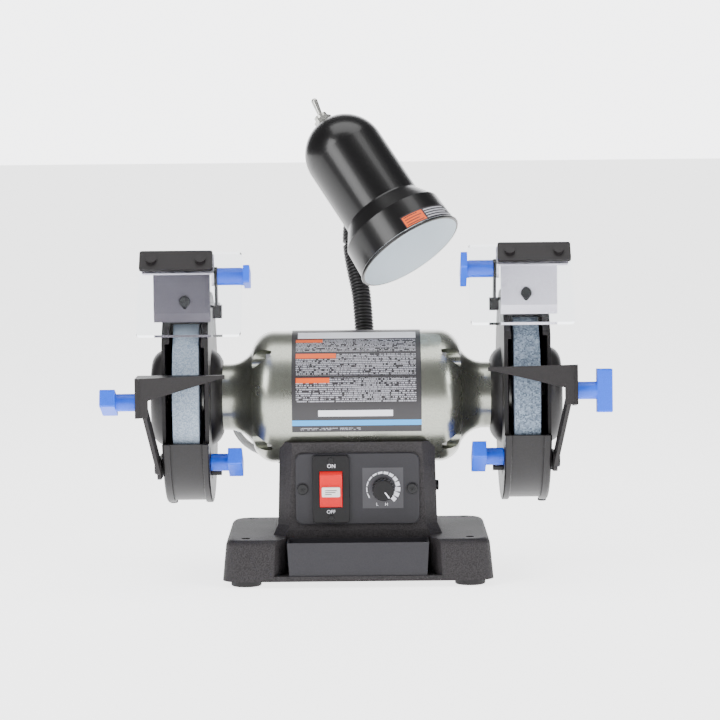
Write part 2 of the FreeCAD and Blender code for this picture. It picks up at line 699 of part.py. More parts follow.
def wing_knob(neck_from, neck_to, head, bar_turn, stud_to, y, z):
    """Moulded knob on a stud: round neck and a wing bar across its end, all along X."""
    way = 1 if neck_to > neck_from else -1
    length, width = KNOB_BAR
    x0, x1 = sorted((neck_from, neck_to))
    neck = rod_x(x0, x1, KNOB_NECK_R, y, z)
    h0, h1 = sorted((neck_to, neck_to + way * head))
    bar = block(h0, h1, y - width / 2, y + width / 2, z - length / 2, z + length / 2)
    bar = rounded(bar, 1.5, along("x"))
    bar = rounded(bar, 0.9, lambda e: abs(e.CenterOfMass.x - (neck_to + way * head)) < 0.01)
    bar.rotate(V(0, y, z), V(1, 0, 0), bar_turn)
    s0, s1 = sorted((neck_from, stud_to))
    stud = rod_x(s0, s1, STUD_R, y, z)
    return joined(neck, bar, stud)


KNOB_TURNS = {"rest": {"left": 72.0, "right": 0.0}, "shroud": {"left": 66.0, "right": 66.0},
              "shield": {"left": 78.0, "right": 62.0}}


def shroud_knob(side):
    stud_end = GUARD_IN + GUARD_WALL + GAP + SHROUD_WALL
    neck_from = GUARD_IN - GAP
    return wing_knob(neck_from, neck_from - 13.5, KNOB_HEAD, KNOB_TURNS["shroud"][side], stud_end,
                     *polar(*SHROUD_STUD))


# ---- tool rest, its arm and knob ----------------------------------------------------

def rest_arm():
    """Bent strap from two slots on the cover to the eye of the rest's pivot bolt."""
    bolt_y, bolt_z = REST_BOLT
    (y0, z0), (y1, z1) = arm_screw_places()
    middle_y = (y0 + y1) / 2
    half = (y1 - y0) / 2 + 18
    foot = block(ARM_IN, ARM_IN + ARM_THICK, middle_y - half, middle_y + half,
                 z0 - ARM_WIDTH / 2, z0 + ARM_WIDTH / 2)
    foot = rounded(foot, 4.0, along("x"))
    eye = rod_x(EYE_OUT - ARM_THICK, EYE_OUT, ARM_WIDTH / 2 + 0.5, bolt_y, bolt_z)
    bar_from = V(ARM_IN, middle_y - half + 6, z0)
    bar_to = V(EYE_OUT - ARM_THICK, bolt_y, bolt_z)
    reach = V(0, bar_to.y - bar_from.y, bar_to.z - bar_from.z)
    reach.normalize()
    across = V(0, -reach.z, reach.y) * (ARM_WIDTH / 2)
    thick = V(ARM_THICK, 0, 0)
    ends = []
    for point in (bar_from, bar_to):
        corners = [point - across, point + across, point + across + thick, point - across + thick]
        ends.append(Part.makePolygon(corners + corners[:1]))
    bar = loft(*ends)
    half_travel = (ARM_TRAVEL[1] - ARM_TRAVEL[0]) / 2
    middle = -(ARM_TRAVEL[1] + ARM_TRAVEL[0]) / 2
    slots = [slot_y(half_travel + 0.3, 2.5 + 0.3, y + middle, z, ARM_IN - 1, ARM_IN + ARM_THICK + 1)
             for y, z in arm_screw_places()]
    bolt_hole = rod_x(EYE_OUT - ARM_THICK - 1, EYE_OUT + 1, STUD_R + RUNNING_FIT, bolt_y, bolt_z)
    return joined(foot, eye, bar).cut(slots + [bolt_hole])


def tool_rest():
    """Table with a slanted front edge and flange, and an angle at its outer end for the bolt."""
    bolt_y, bolt_z = REST_BOLT
    tip_depth = 3.5
    foot_z = bolt_z - 11
    under = REST_TOP - REST_PLATE
    table = prism_z([(REST_INNER, -REST_REAR), (REST_INNER, -REST_REAR - tip_depth),
                     (REST_OUTER, -REST_FRONT), (REST_OUTER, -REST_REAR)], under, REST_TOP)
    cheek = block(REST_PLATE_IN, REST_OUTER, -REST_FRONT, bolt_y + 11, foot_z, REST_TOP)
    lug_in = REST_OUTER - 9.5
    slant_run = REST_OUTER - REST_INNER
    slant_rise = REST_FRONT - REST_REAR - tip_depth
    flange_face = prism_y([(REST_INNER, REST_TOP), (REST_INNER, REST_TOP - 1.8), (lug_in, REST_TOP - 17.0),
                           (lug_in, foot_z), (REST_OUTER, foot_z), (REST_OUTER, REST_TOP)], 0, 200)
    flange_face.translate(V(0, -150, 0))
    skirt = prism_z([(REST_INNER, -REST_REAR - tip_depth), (REST_OUTER, -REST_FRONT),
                     (REST_OUTER, -REST_FRONT + REST_PLATE),
                     (REST_INNER, -REST_REAR - tip_depth + REST_PLATE)], foot_z, REST_TOP)
    wheel_side = block(REST_INNER - 1, REST_OUTER + 1, -REST_REAR, 0, foot_z - 1, REST_TOP + 1)
    flange = skirt.common(flange_face).cut(wheel_side)
    rest = joined(table, cheek, flange)
    bolt_hole = rod_x(REST_PLATE_IN - 1, REST_OUTER + 1, STUD_R + RUNNING_FIT, bolt_y, bolt_z)
    return rest.cut(bolt_hole)


def tilted_rest(shape, side):
    """The rest as it is set on its pivot bolt."""
    placed = shape.copy()
    placed.rotate(V(0, *REST_BOLT), V(1, 0, 0), REST_TILT[side])
    return placed


def rest_knob(side):
    neck_from = REST_OUTER + GAP
    return wing_knob(neck_from, REST_OUTER + 15.0, 11.6, KNOB_TURNS["rest"][side],
                     EYE_OUT - ARM_THICK, *REST_BOLT)


# ---- eye shield, its bracket and knob -----------------------------------------------

def leaning(down, out):
    """Y and Z of a point on the leaning shield: down along it, and out from its front face."""
    angle = math.radians(SHIELD_LEAN)
    return (SHIELD_TOP[0] - down * math.sin(angle) - out * math.cos(angle),
            SHIELD_TOP[1] - down * math.cos(angle) + out * math.sin(angle))


def leaning_plate(span, top, bottom, rear, front, corner):
    """A flat plate that lies along the shield, with round corners."""
    angle = SHIELD_LEAN
    plate = block(span[0], span[1], -front, -rear, -bottom, -top)
    plate = rounded(plate, corner, along("y"))
    plate.rotate(V(0, 0, 0), V(1, 0, 0), -angle)
    plate.translate(V(0, *SHIELD_TOP))
    return plate


def shield_screw_rods(radius, rear, front):
    """Rods through strip, shield and bracket at the two screw places."""
    middle = (STRIP_SPAN[0] + STRIP_SPAN[1]) / 2
    rods = []
    for offset in (-18.7, 18.7):
        rod = rod_y(-front, -rear, radius, middle + offset, 0)
        rod.rotate(V(0, 0, 0), V(1, 0, 0), -SHIELD_LEAN)
        rod.translate(V(0, *SHIELD_TOP))
        rods.append(rod)
    return rods


def shield_bracket():
    """Tab behind the shield and an arm to the pivot on the guard's ear."""
    pivot_y, pivot_z = SHIELD_PIVOT
    half = STRIP_WIDTH / 2
    arm_in = EAR_IN + EAR_THICK + GAP
    tab_rear = -SHIELD_THICK - 2
    tab = leaning_plate((arm_in, STRIP_SPAN[1] - 2), -half, half, tab_rear, -SHIELD_THICK, 1.0)
    eye_r = 7.0
    arm = prism_x([leaning(-half + 1, -SHIELD_THICK), leaning(half, -SHIELD_THICK),
                   (pivot_y - 4, pivot_z - eye_r + 1), (pivot_y + eye_r - 1, pivot_z + 3)],
                  arm_in, arm_in + 2)
    eye = rod_x(arm_in, arm_in + 2, eye_r, pivot_y, pivot_z)
    arm_front = leaning_plate((arm_in - 1, arm_in + 4), -half - 20, half + 20, -SHIELD_THICK, 30, 0.5)
    stud_hole = rod_x(arm_in - 1, arm_in + 3, STUD_R + RUNNING_FIT, pivot_y, pivot_z)
    bracket = joined(tab, joined(arm, eye).cut(arm_front))
    return bracket.cut([stud_hole] + shield_screw_rods(2.0, tab_rear - 1, 1))


def eye_shield():
    half = STRIP_WIDTH / 2
    sheet = leaning_plate(SHIELD_SPAN, -half, SHIELD_LENGTH - half, -SHIELD_THICK, 0, 3.0)
    return sheet.cut(shield_screw_rods(2.0, -SHIELD_THICK - 1, 1))


def shield_strip():
    """Steel strip over the top edge of the shield, and its two button-head screws."""
    half = STRIP_WIDTH / 2
    strip = leaning_plate(STRIP_SPAN, -half, half, 0, STRIP_THICK, 2.0)
    strip = strip.cut(shield_screw_rods(2.0, -1, STRIP_THICK + 1))
    screws = [joined(head, shank) for head, shank in
              zip(shield_screw_rods(3.9, STRIP_THICK, STRIP_THICK + 2.4),
                  shield_screw_rods(2.0, -SHIELD_THICK - 2, STRIP_THICK))]
    return group([strip] + screws)


def shield_knob(side):
    stud_end = EAR_IN + EAR_THICK + GAP + 2
    neck_from = EAR_IN - GAP
    return wing_knob(neck_from, EAR_IN - 20.3, 5.0, KNOB_TURNS["shield"][side], stud_end, *SHIELD_PIVOT)


def spark_arrestor():
    """Plate that is set close to the wheel, with a bent lower edge and a return at its inner side."""
    low, high = ARRESTOR_SPAN_Z
    front = -ARRESTOR_FRONT
    rear = front + ARRESTOR_THICK
    bend_z = min(low + 7.0, BRACKET_Z - 3.0)
    lean_back = 2.5
    profile = [(front, high), (front, bend_z), (front + lean_back, low), (rear + lean_back, low),
               (rear, bend_z), (rear, high)]
    plate = prism_x(profile, *ARRESTOR_SPAN)
    return_edge = block(ARRESTOR_SPAN[0], ARRESTOR_SPAN[0] + ARRESTOR_THICK, front - 4.5, front + 0.5,
                        bend_z + 2, high)
    half_travel = (ARRESTOR_TRAVEL[1] - ARRESTOR_TRAVEL[0]) / 2
    middle = BRACKET_Z + 5 - (ARRESTOR_TRAVEL[1] + ARRESTOR_TRAVEL[0]) / 2
    slot_r = 2.0 + GAP
    slot = block(WHEEL_X - slot_r, WHEEL_X + slot_r, front - 1, rear + 1,
                 middle - half_travel - 0.3, middle + half_travel + 0.3)
    ends = [rod_y(front - 1, rear + 1, slot_r, WHEEL_X, middle + end * (half_travel + 0.3))
            for end in (-1, 1)]
    return joined(plate, return_edge).cut([slot] + ends)


# ---- pedestal -----------------------------------------------------------------------

def bench_hole_places():
    x = BENCH_HOLES[0] / 2
    y = BENCH_HOLES[1] / 2
    return [(sx * x, sy * y) for sx in (-1, 1) for sy in (-1, 1)]


def column_wire(z, grow):
    """Eight-sided section of the column at a height, grown outwards."""
    share = (z - BASE_TOP) / (COLUMN_TOP - BASE_TOP)
    front = (COLUMN_FRONT_WIDTH[0] + share * (COLUMN_FRONT_WIDTH[1] - COLUMN_FRONT_WIDTH[0])) / 2 + grow * 0.6
    side = (COLUMN_WIDTH[0] + share * (COLUMN_WIDTH[1] - COLUMN_WIDTH[0])) / 2 + grow
    depth = COLUMN_FRONT + grow
    shoulder = depth - COLUMN_CHAMFER
    corners = [(-front, -depth), (front, -depth), (side, -shoulder), (side, shoulder),
               (front, depth), (-front, depth), (-side, shoulder), (-side, -shoulder)]
    return outline(corners, lambda x, y: V(x, y, z))


def base_wire(z, inset):
    """Rounded footprint of the base at a height, drawn in by its draft and by an inset."""
    draft = BASE_DRAFT * (z - FOOT_HEIGHT) / (BASE_TOP - FOOT_HEIGHT) + inset
    corner = BASE_CORNER - inset
    return rounded_wire(BASE_WIDTH - 2 * draft, BASE_DEPTH - 2 * draft, corner, BASE_SHIFT, z)


def pedestal():
    """Hollow casting: low base with a recess for the tray, and the column with its saddle."""
    flare_top = BASE_TOP + 8
    base = loft(base_wire(FOOT_HEIGHT, 0), base_wire(BASE_TOP, 0))
    base = rounded(base, 5.0, lambda e: e.CenterOfMass.z > BASE_TOP - 0.01)
    column = loft(column_wire(BASE_TOP - 6, 0), column_wire(COLUMN_TOP, 0))
    flare = loft(column_wire(BASE_TOP - 6, COLUMN_FLARE), column_wire(flare_top, 0))
    half_recess = RECESS_WIDTH / 2
    recess = block(-half_recess, half_recess, -BASE_FRONT - 5, -RECESS_REAR, RECESS_FLOOR, flare_top)
    recess = recess.fuse(lobe_corners(RECESS_FLOOR))
    saddle = rod_x(-BASE_WIDTH, BASE_WIDTH, MOTOR_R, 0, SPINDLE_Z)
    outside = joined(base, column, flare, lamp_boss()).cut([recess, saddle])

    inner_base = loft(base_wire(FOOT_HEIGHT - 1, BASE_WALL), base_wire(BASE_TOP - BASE_WALL, BASE_WALL))
    recess_walls = block(-half_recess - BASE_WALL, half_recess + BASE_WALL, -BASE_FRONT - 5,
                         -RECESS_REAR + BASE_WALL, FOOT_HEIGHT - 2, flare_top)
    inner_base = inner_base.cut([recess_walls, lobe_corners(FOOT_HEIGHT - 2, BASE_WALL)])
    inner_column = loft(column_wire(BASE_TOP - 6, -COLUMN_WALL), column_wire(COLUMN_TOP - 6, -COLUMN_WALL))
    inner_column = inner_column.cut(rod_x(-BASE_WIDTH, BASE_WIDTH, MOTOR_R + COLUMN_WALL, 0, SPINDLE_Z))
    posts = [rod_z(FOOT_HEIGHT, BASE_TOP - 1, FOOT_R - 0.5, x, y) for x, y in bench_hole_places()]
    body = outside.cut(inner_base.cut(posts)).cut(inner_column)
    return body.cut(pedestal_holes())


def lobe_corners(z0, grow=0.0):
    """Wedges that round off the inner corners of the two front lobes."""
    half = RECESS_WIDTH / 2
    depth = 9.0
    wedges = []
    for sign in (-1, 1):
        steps = [(sign * (half - 1), -BASE_FRONT - 5), (sign * (half + depth + grow), -BASE_FRONT - 5),
                 (sign * (half + depth + grow), -BASE_FRONT), (sign * (half + grow), -BASE_FRONT + 16),
                 (sign * (half - 1), -BASE_FRONT + 16)]
        wedges.append(prism_z(steps, z0, BASE_TOP + 20))
    return wedges[0].fuse(wedges[1])


def lamp_boss():
    """Boss behind the column that carries the lamp's socket."""
    top = SOCKET_POINT.z - 14
    boss = block(SOCKET_POINT.x - 13, SOCKET_POINT.x + 13, COLUMN_FRONT - 6, SOCKET_POINT.y, top - 16, top)
    head = rod_z(top - 16, top, 13.0, SOCKET_POINT.x, SOCKET_POINT.y)
    return joined(boss, head)


def pedestal_holes():
    """Panel opening, bench holes, screw holes, lead hole and cord hole."""
    holes = [rod_z(FOOT_HEIGHT - 1, BASE_TOP + 1, BENCH_HOLE_R, x, y) for x, y in bench_hole_places()]
    opening = block(-PANEL_SCREW_X + 7, PANEL_SCREW_X - 7, -COLUMN_FRONT - 10, -COLUMN_FRONT + COLUMN_WALL + 6,
                    PANEL_Z - PANEL_HEIGHT / 2 + 4, PANEL_Z + PANEL_HEIGHT / 2 - 4)
    holes.append(opening)
    for x in (-PANEL_SCREW_X, PANEL_SCREW_X):
        holes.append(rod_y(-COLUMN_FRONT - 1, -COLUMN_FRONT + 8, 1.8, x, PANEL_Z))
    holes.append(rod_z(SOCKET_POINT.z - 26, SOCKET_POINT.z, 5.0, SOCKET_POINT.x, SOCKET_POINT.y))
    lead_end = LEAD_ROUTE[-1]
    holes.append(rod_x(-70, -52, LEAD_R + 1.5, lead_end.y, lead_end.z))
    holes.append(rod_y(BASE_FRONT - 20, BASE_FRONT, CORD_HOLE_R, CORD_X, CORD_Z))
    holes.append(rod_x(52, 70, 1.8, SIDE_SCREW[0], SIDE_SCREW[1]))
    return holes


CORD_X = -50.0
CORD_Z = 22.0
CORD_HOLE_R = 6.5
SIDE_SCREW = (-20.0, PANEL_Z - 1.0)


def base_plate():
    """Sheet that closes the hollow base from below."""
    thick = 1.5
    edge = BASE_WALL + 0.2
    plate = Part.Face(base_wire(FOOT_HEIGHT, edge)).extrude(V(0, 0, thick))
    half_recess = RECESS_WIDTH / 2 + edge
    recess = block(-half_recess, half_recess, -BASE_FRONT - 5, -RECESS_REAR + edge, 0, BASE_TOP)
    posts = [rod_z(0, BASE_TOP, FOOT_R - 0.3, x, y) for x, y in bench_hole_places()]
    return plate.cut([recess, lobe_corners(0, edge)] + posts)


def feet():
    rubber = []
    for x, y in bench_hole_places():
        foot = rod_z(0, FOOT_HEIGHT, FOOT_R, x, y)
        foot = rounded(foot, 1.2, lambda e: e.CenterOfMass.z < 0.01 and isinstance(e.Curve, Part.Circle))
        rubber.append(foot.cut(rod_z(-1, FOOT_HEIGHT + 1, BENCH_HOLE_R, x, y)))
    return group(rubber)


def quench_tray():
    """Open tray that slides out of the recess; its front is a little narrower at the bottom."""
    z0 = RECESS_FLOOR
    z1 = RECESS_FLOOR + TRAY_HEIGHT
    rear = -RECESS_REAR - GAP
    front = -BASE_FRONT + 1.5
    half = TRAY_WIDTH / 2
    taper = 1.5

    def shell(inset, floor):
        steps = [(-half + inset, z1 + inset), (half - inset, z1 + inset),
                 (half - inset - taper, floor), (-half + inset + taper, floor)]
        return prism_y(steps, front + inset, rear - inset)
    return shell(0, z0).cut(shell(TRAY_WALL, z0 + TRAY_WALL))


# ---- control panel ------------------------------------------------------------------

def panel_place(shape):
    """A panel piece drawn face up about the origin, put upright on the column's front."""
    placed = shape.copy()
    placed.rotate(V(0, 0, 0), V(1, 0, 0), 90)
    placed.translate(V(0, 0, PANEL_Z))
    return placed


def panel_slab(x_middle, width, height, corner, depth0, depth1):
    """A rounded slab on the panel, between two depths ahead of the spindle's axis."""
    face = Part.Face(rounded_wire(width, height, corner, 0.0, depth0))
    slab = face.extrude(V(0, 0, depth1 - depth0))
    slab.translate(V(x_middle, 0, 0))
    return panel_place(slab)


SWITCH_BODY = (24.0, 36.0)
SWITCH_DEPTH = 20.0
SWITCH_DROP = 1.5          # body's middle below the panel's middle


def control_panel():
    plate = panel_slab(0, PANEL_WIDTH, PANEL_HEIGHT, PANEL_CORNER, COLUMN_FRONT, PANEL_FACE)
    plate = rounded(plate, 0.8, lambda e: e.CenterOfMass.y < -PANEL_FACE + 0.01)
    holes = [panel_slab(SWITCH_X, SWITCH_BODY[0] + 0.2, SWITCH_BODY[1] + 2 * SWITCH_DROP + 0.2, 1.0,
                        COLUMN_FRONT - 1, PANEL_FACE + 1)]
    holes.append(rod_y(-PANEL_FACE - 1, -COLUMN_FRONT + 1, 5.1, DIAL_X, PANEL_Z))
    for x in (-PANEL_SCREW_X, PANEL_SCREW_X):
        holes.append(rod_y(-PANEL_FACE - 1, -COLUMN_FRONT + 1, 1.8, x, PANEL_Z))
    return plate.cut(holes)


def panel_screws():
    """Two screws of the panel, two of the switch, and the one on the column's right wall."""
    screws = []
    for x in (-PANEL_SCREW_X, PANEL_SCREW_X):
        screws.append(pan_screw_y(x, PANEL_Z, PANEL_FACE, 4.3, 2.0, 8.0))
    for z in (PANEL_Z - SWITCH_HEIGHT / 2 + 4.0, PANEL_Z + SWITCH_HEIGHT / 2 - 4.0):
        screws.append(pan_screw_y(SWITCH_X, z, BEZEL_FACE - 0.8, 2.4, 1.2, BEZEL_THICK - 1.0))
    seat = column_wire(SIDE_SCREW[1], 0).BoundBox.XMax + 0.2
    shank = rod_x(seat - COLUMN_WALL, seat, 1.8, *SIDE_SCREW)
    head = rounded(rod_x(seat, seat + 2.4, 4.0, *SIDE_SCREW), 1.0,
                   lambda e: e.CenterOfMass.x > seat + 2.3)
    screws.append(joined(shank, head))
    return group(screws)


def pan_screw_y(x, z, seat, head_r, head_height, shank_length):
    """A pan-head screw that faces the front, seated at a depth ahead of the axis."""
    head = rounded(rod_y(-seat - head_height, -seat, head_r, x, z), head_height * 0.45,
                   lambda e: e.CenterOfMass.y < -seat - head_height + 0.01)
    cross = [block(x - 1.8, x + 1.8, -seat - head_height - 1, -seat - head_height * 0.5, z - 0.4, z + 0.4),
             block(x - 0.4, x + 0.4, -seat - head_height - 1, -seat - head_height * 0.5, z - 1.8, z + 1.8)]
    return joined(head.cut(cross), rod_y(-seat, -seat + shank_length, 1.8 if head_r > 3 else 1.2, x, z))


def rocker_pivot():
    return -(BEZEL_FACE - ROCKER_SET_BACK), PANEL_Z


def switch_body():
    """Bezel with its two ears, and the body behind the panel, hollow for the rocker."""
    bezel = panel_slab(SWITCH_X, SWITCH_WIDTH, SWITCH_HEIGHT, 3.0, PANEL_FACE, BEZEL_FACE)
    bezel = rounded(bezel, 0.7, lambda e: e.CenterOfMass.y < -BEZEL_FACE + 0.01)
    width, height = SWITCH_BODY
    z_middle = PANEL_Z - SWITCH_DROP
    body = block(SWITCH_X - width / 2, SWITCH_X + width / 2, -PANEL_FACE, -PANEL_FACE + SWITCH_DEPTH,
                 z_middle - height / 2, z_middle + height / 2)
    hollow = rod_x(SWITCH_X - ROCKER_WIDTH / 2 - GAP, SWITCH_X + ROCKER_WIDTH / 2 + GAP,
                   ROCKER_R + GAP, *rocker_pivot())
    holes = [rod_y(-BEZEL_FACE - 1, -PANEL_FACE - 0.01, 1.2, SWITCH_X, z)
             for z in (PANEL_Z - SWITCH_HEIGHT / 2 + 4.0, PANEL_Z + SWITCH_HEIGHT / 2 - 4.0)]
    holes += [rod_y(-BEZEL_FACE - 1, -BEZEL_FACE + 0.8, 2.5, SWITCH_X, z)
              for z in (PANEL_Z - SWITCH_HEIGHT / 2 + 4.0, PANEL_Z + SWITCH_HEIGHT / 2 - 4.0)]
    return joined(bezel, body).cut([hollow] + holes)


KEY_SLOT = (12.0, 6.6)


def switch_rocker():
    """Rocker: two flat pads that meet in a low ridge, with a slot for the key through it."""
    pivot_y, pivot_z = rocker_pivot()
    x0 = SWITCH_X - ROCKER_WIDTH / 2
    x1 = SWITCH_X + ROCKER_WIDTH / 2
    drum = rod_x(x0, x1, ROCKER_R, pivot_y, pivot_z)
    tip_depth = ROCKER_SET_BACK + 1.6
    reach = ROCKER_R + 1
    pads = prism_x([(pivot_y + 3, pivot_z - reach), (pivot_y - tip_depth, pivot_z - reach),
                    (pivot_y - ROCKER_RIDGE, pivot_z), (pivot_y - tip_depth, pivot_z + reach),
                    (pivot_y + 3, pivot_z + reach)], x0, x1)
    rocker = drum.common(pads)
    slot = block(SWITCH_X - KEY_SLOT[0] / 2, SWITCH_X + KEY_SLOT[0] / 2, pivot_y - 20, pivot_y - 1.5,
                 pivot_z - KEY_SLOT[1] / 2, pivot_z + KEY_SLOT[1] / 2)
    rocker = rocker.cut(slot)
    rocker.rotate(V(0, pivot_y, pivot_z), V(1, 0, 0), ROCKER_LEAN)
    return rocker


def safety_key():
    """White key that plugs into the rocker; pulled out, it locks the switch."""
    pivot_y, pivot_z = rocker_pivot()
    play = 0.15
    half_w = KEY_SLOT[0] / 2 - play
    half_h = KEY_SLOT[1] / 2 - play
    cap_in = pivot_y - ROCKER_RIDGE - GAP
    blade = block(SWITCH_X - half_w, SWITCH_X + half_w, cap_in, pivot_y - 2.0,
                  pivot_z - half_h, pivot_z + half_h)
    cap = block(SWITCH_X - half_w - 1.2, SWITCH_X + half_w + 1.2, cap_in - 2.2, cap_in,
                pivot_z - half_h - 0.6, pivot_z + half_h + 0.6)
    cap = rounded(cap, 1.0, along("y"))
    key = joined(blade, cap)
    key.rotate(V(0, pivot_y, pivot_z), V(1, 0, 0), ROCKER_LEAN)
    return key


def speed_control():
    """Potentiometer behind the panel, with its bush through the panel and its spindle."""
    body = rod_y(-COLUMN_FRONT, -COLUMN_FRONT + 12, 10.0, DIAL_X, PANEL_Z)
    bush = rod_y(-PANEL_FACE - 1.5, -COLUMN_FRONT, 5.0, DIAL_X, PANEL_Z)
    spindle = rod_y(-PANEL_FACE - 8, -PANEL_FACE, 3.0, DIAL_X, PANEL_Z)
    return joined(body, bush, spindle)


def speed_knob():
    """Ribbed knob with a raised pointer line."""
    rear = -PANEL_FACE - 1.8
    front = rear - DIAL_KNOB_HEIGHT
    knob = rod_y(front, rear, DIAL_KNOB_R, DIAL_X, PANEL_Z)
    knob = rounded(knob, 1.2, lambda e: e.CenterOfMass.y < front + 0.01)
    grooves = []
    for k in range(18):
        angle = math.radians(20 * k + 10)
        grooves.append(rod_y(front - 1, rear - 2.5, 0.7, DIAL_X + (DIAL_KNOB_R + 0.25) * math.cos(angle),
                             PANEL_Z + (DIAL_KNOB_R + 0.25) * math.sin(angle)))
    bore = rod_y(rear - 6.6, rear + 1, 3.0 + RUNNING_FIT, DIAL_X, PANEL_Z)
    relief = rod_y(rear - 0.6, rear + 1, 5.6, DIAL_X, PANEL_Z)
    return knob.cut(grooves + [bore, relief])


def control_board():
    """Speed-control board on two stand-offs inside the column, with its larger parts."""
    board = block(-32, 32, -4, -2.4, 42, 78)
    coil = rod_y(-2.4, 11, 9, -16, 58)
    sink = block(2, 26, -2.4, 9, 47, 70)
    feet_ = [rod_y(-14, -4, 2.5, x, 46) for x in (-28, 28)]
    rail = block(-52, 52, -18, -14, 42, 50)
    return joined(board, coil, sink, rail, *feet_)


# ---- lead, grommets and cord gland --------------------------------------------------

def motor_lead():
    path, radii = tangent_path(LEAD_ROUTE)
    print("lead: length %.1f mm, arc radii %s" % (path.Length, ["%.1f" % r for r in radii]))
    return tube_along(path, LEAD_R)


def grommets():
    """Rubber sleeves at both ends of the lead, and the cord's gland at the back of the base."""
    start = LEAD_ROUTE[0]
    end = LEAD_ROUTE[-1]
    outward = LEAD_ROUTE[1] - start
    outward.normalize()
    reach = math.hypot(start.y, start.z - SPINDLE_Z) - (NECK_R - 2)
    upper = Part.makeCylinder(4.4, reach, start - outward * reach, outward)
    upper = joined(upper, Part.makeCylinder(6.2, reach - 3, start - outward * reach, outward))
    upper = upper.cut(lifted(mirrored(end_bell(GUARD_TURN["left"]))))
    upper = max(upper.Solids, key=lambda solid: solid.Volume)
    seat = -column_wire(end.z, 0).BoundBox.XMax - 0.3
    lower = joined(rod_x(end.x, seat + COLUMN_WALL, LEAD_R + 1.5, end.y, end.z),
                   rod_x(seat - 2.4, seat, 6.5, end.y, end.z))
    lower = lower.cut(tube_along(tangent_path(LEAD_ROUTE)[0], LEAD_R))
    rear = BASE_DEPTH / 2 + BASE_SHIFT
    inside = rod_y(rear - 9, rear - 1, CORD_HOLE_R, CORD_X, CORD_Z)
    sleeve = Part.makeCone(9.0, 6.5, 8.0, V(CORD_X, rear - 0.5, CORD_Z), V(0, 1, 0))
    gland = joined(inside, sleeve, rod_y(rear - 1.5, rear - 0.5, CORD_HOLE_R, CORD_X, CORD_Z))
    gland = gland.cut(rod_y(rear - 20, rear + 20, 3.6, CORD_X, CORD_Z))
    return group([upper, lower, gland])


# ---- work lamp ----------------------------------------------------------------------

def shade_direction():
    direction = V(SHADE_AXIS)
    direction.normalize()
    return direction


def swivel_direction():
    direction = V(SWIVEL_SIDE)
    direction.normalize()
    return direction


def shade_point(from_mouth, aside=0.0):
    """A point on the shade's axis, or out from it towards the swivel."""
    return MOUTH_CENTRE - shade_direction() * from_mouth + swivel_direction() * aside


def head_bend():
    return shade_point(SWIVEL_FROM_MOUTH, SHADE_R + SWIVEL_OUT)


def gooseneck_socket():
    """Threaded socket on the boss, with a cup for the foot of the gooseneck."""
    top = SOCKET_POINT.z
    body = turned_z([(0, top - 14), (12.5, top - 14), (12.5, top - 8), (10.8, top - 6), (10.8, top - 1),
                     (9.8, top), (0, top)])
    body.translate(V(SOCKET_POINT.x, SOCKET_POINT.y, 0))
    cup = Part.makeSphere(NECK_TUBE_R + GAP, BASE_BEND)
    bore = rod_z(top - 15, top, 4.0, SOCKET_POINT.x, SOCKET_POINT.y)
    return body.cut([cup, bore])


def straight_neck(start, end):
    way = end - start
    length = way.Length
    way.normalize()
    return Part.makeCylinder(NECK_TUBE_R, length, start, way)


def gooseneck_lower():
    """Lower half of the gooseneck: ball foot in the socket, ball joint at its top."""
    way = MID_BEND - BASE_BEND
    way.normalize()
    foot = Part.makeSphere(NECK_TUBE_R, BASE_BEND)
    stem = straight_neck(BASE_BEND, MID_BEND - way * BEND_GAP)
    ball = Part.makeSphere(BALL_R, MID_BEND)
    pin = Part.makeCylinder(BALL_R - 2, BEND_GAP + 3, MID_BEND - way * (BEND_GAP + 3), way)
    return joined(foot, stem, pin, ball)


def neck_route():
    """Points of the upper gooseneck: from the middle bend up, then two turns into the swivel."""
    side = swivel_direction()
    end = head_bend() + side * BEND_GAP
    way = MID_BEND - BASE_BEND
    way.normalize()
    start = MID_BEND + way * BEND_GAP
    rise = HOOK_RISE - side * HOOK_RISE.dot(side)
    rise.normalize()
    reach = HOOK_R * math.tan(math.radians(22.5))
    hook_end = end + side * 4
    first_turn = hook_end + side * HOOK_R - rise * (HOOK_R - reach)
    return [start, MID_BEND + way * 14, NECK_LEAN_POINT, first_turn, hook_end + side * reach, end]


def gooseneck_upper():
    """Upper half: it rises, bends back and turns forward into the shade's swivel."""
    path, radii = tangent_path(neck_route())
    print("gooseneck: arc radii %s" % ["%.1f" % r for r in radii])
    tube = tube_along(path, NECK_TUBE_R)
    end = head_bend()
    side = swivel_direction()
    ball = Part.makeSphere(BALL_R, end, V(1, 0, 0))
    pin = Part.makeCylinder(BALL_R - 2, BEND_GAP + 3, end, side)
    recess = Part.makeSphere(BALL_R + GAP, MID_BEND, V(1, 0, 0))
    return joined(tube, pin, ball).cut(recess)


def shade_profile(inset):
    """Outline of the shade about its axis, from the mouth back to the dome."""
    r = SHADE_R - inset
    dome = SHADE_LENGTH - SHADE_R
    k = math.sqrt(0.5)
    return [(0, 0), (MOUTH_R - inset, 0), (COLLAR_R - inset, COLLAR_FRONT + inset),
            (SHADE_R + 0.3 - inset, COLLAR_BACK), (r, COLLAR_BACK + 1), (r, dome),
            ((r * k, dome + r * k), (0, dome + r))]


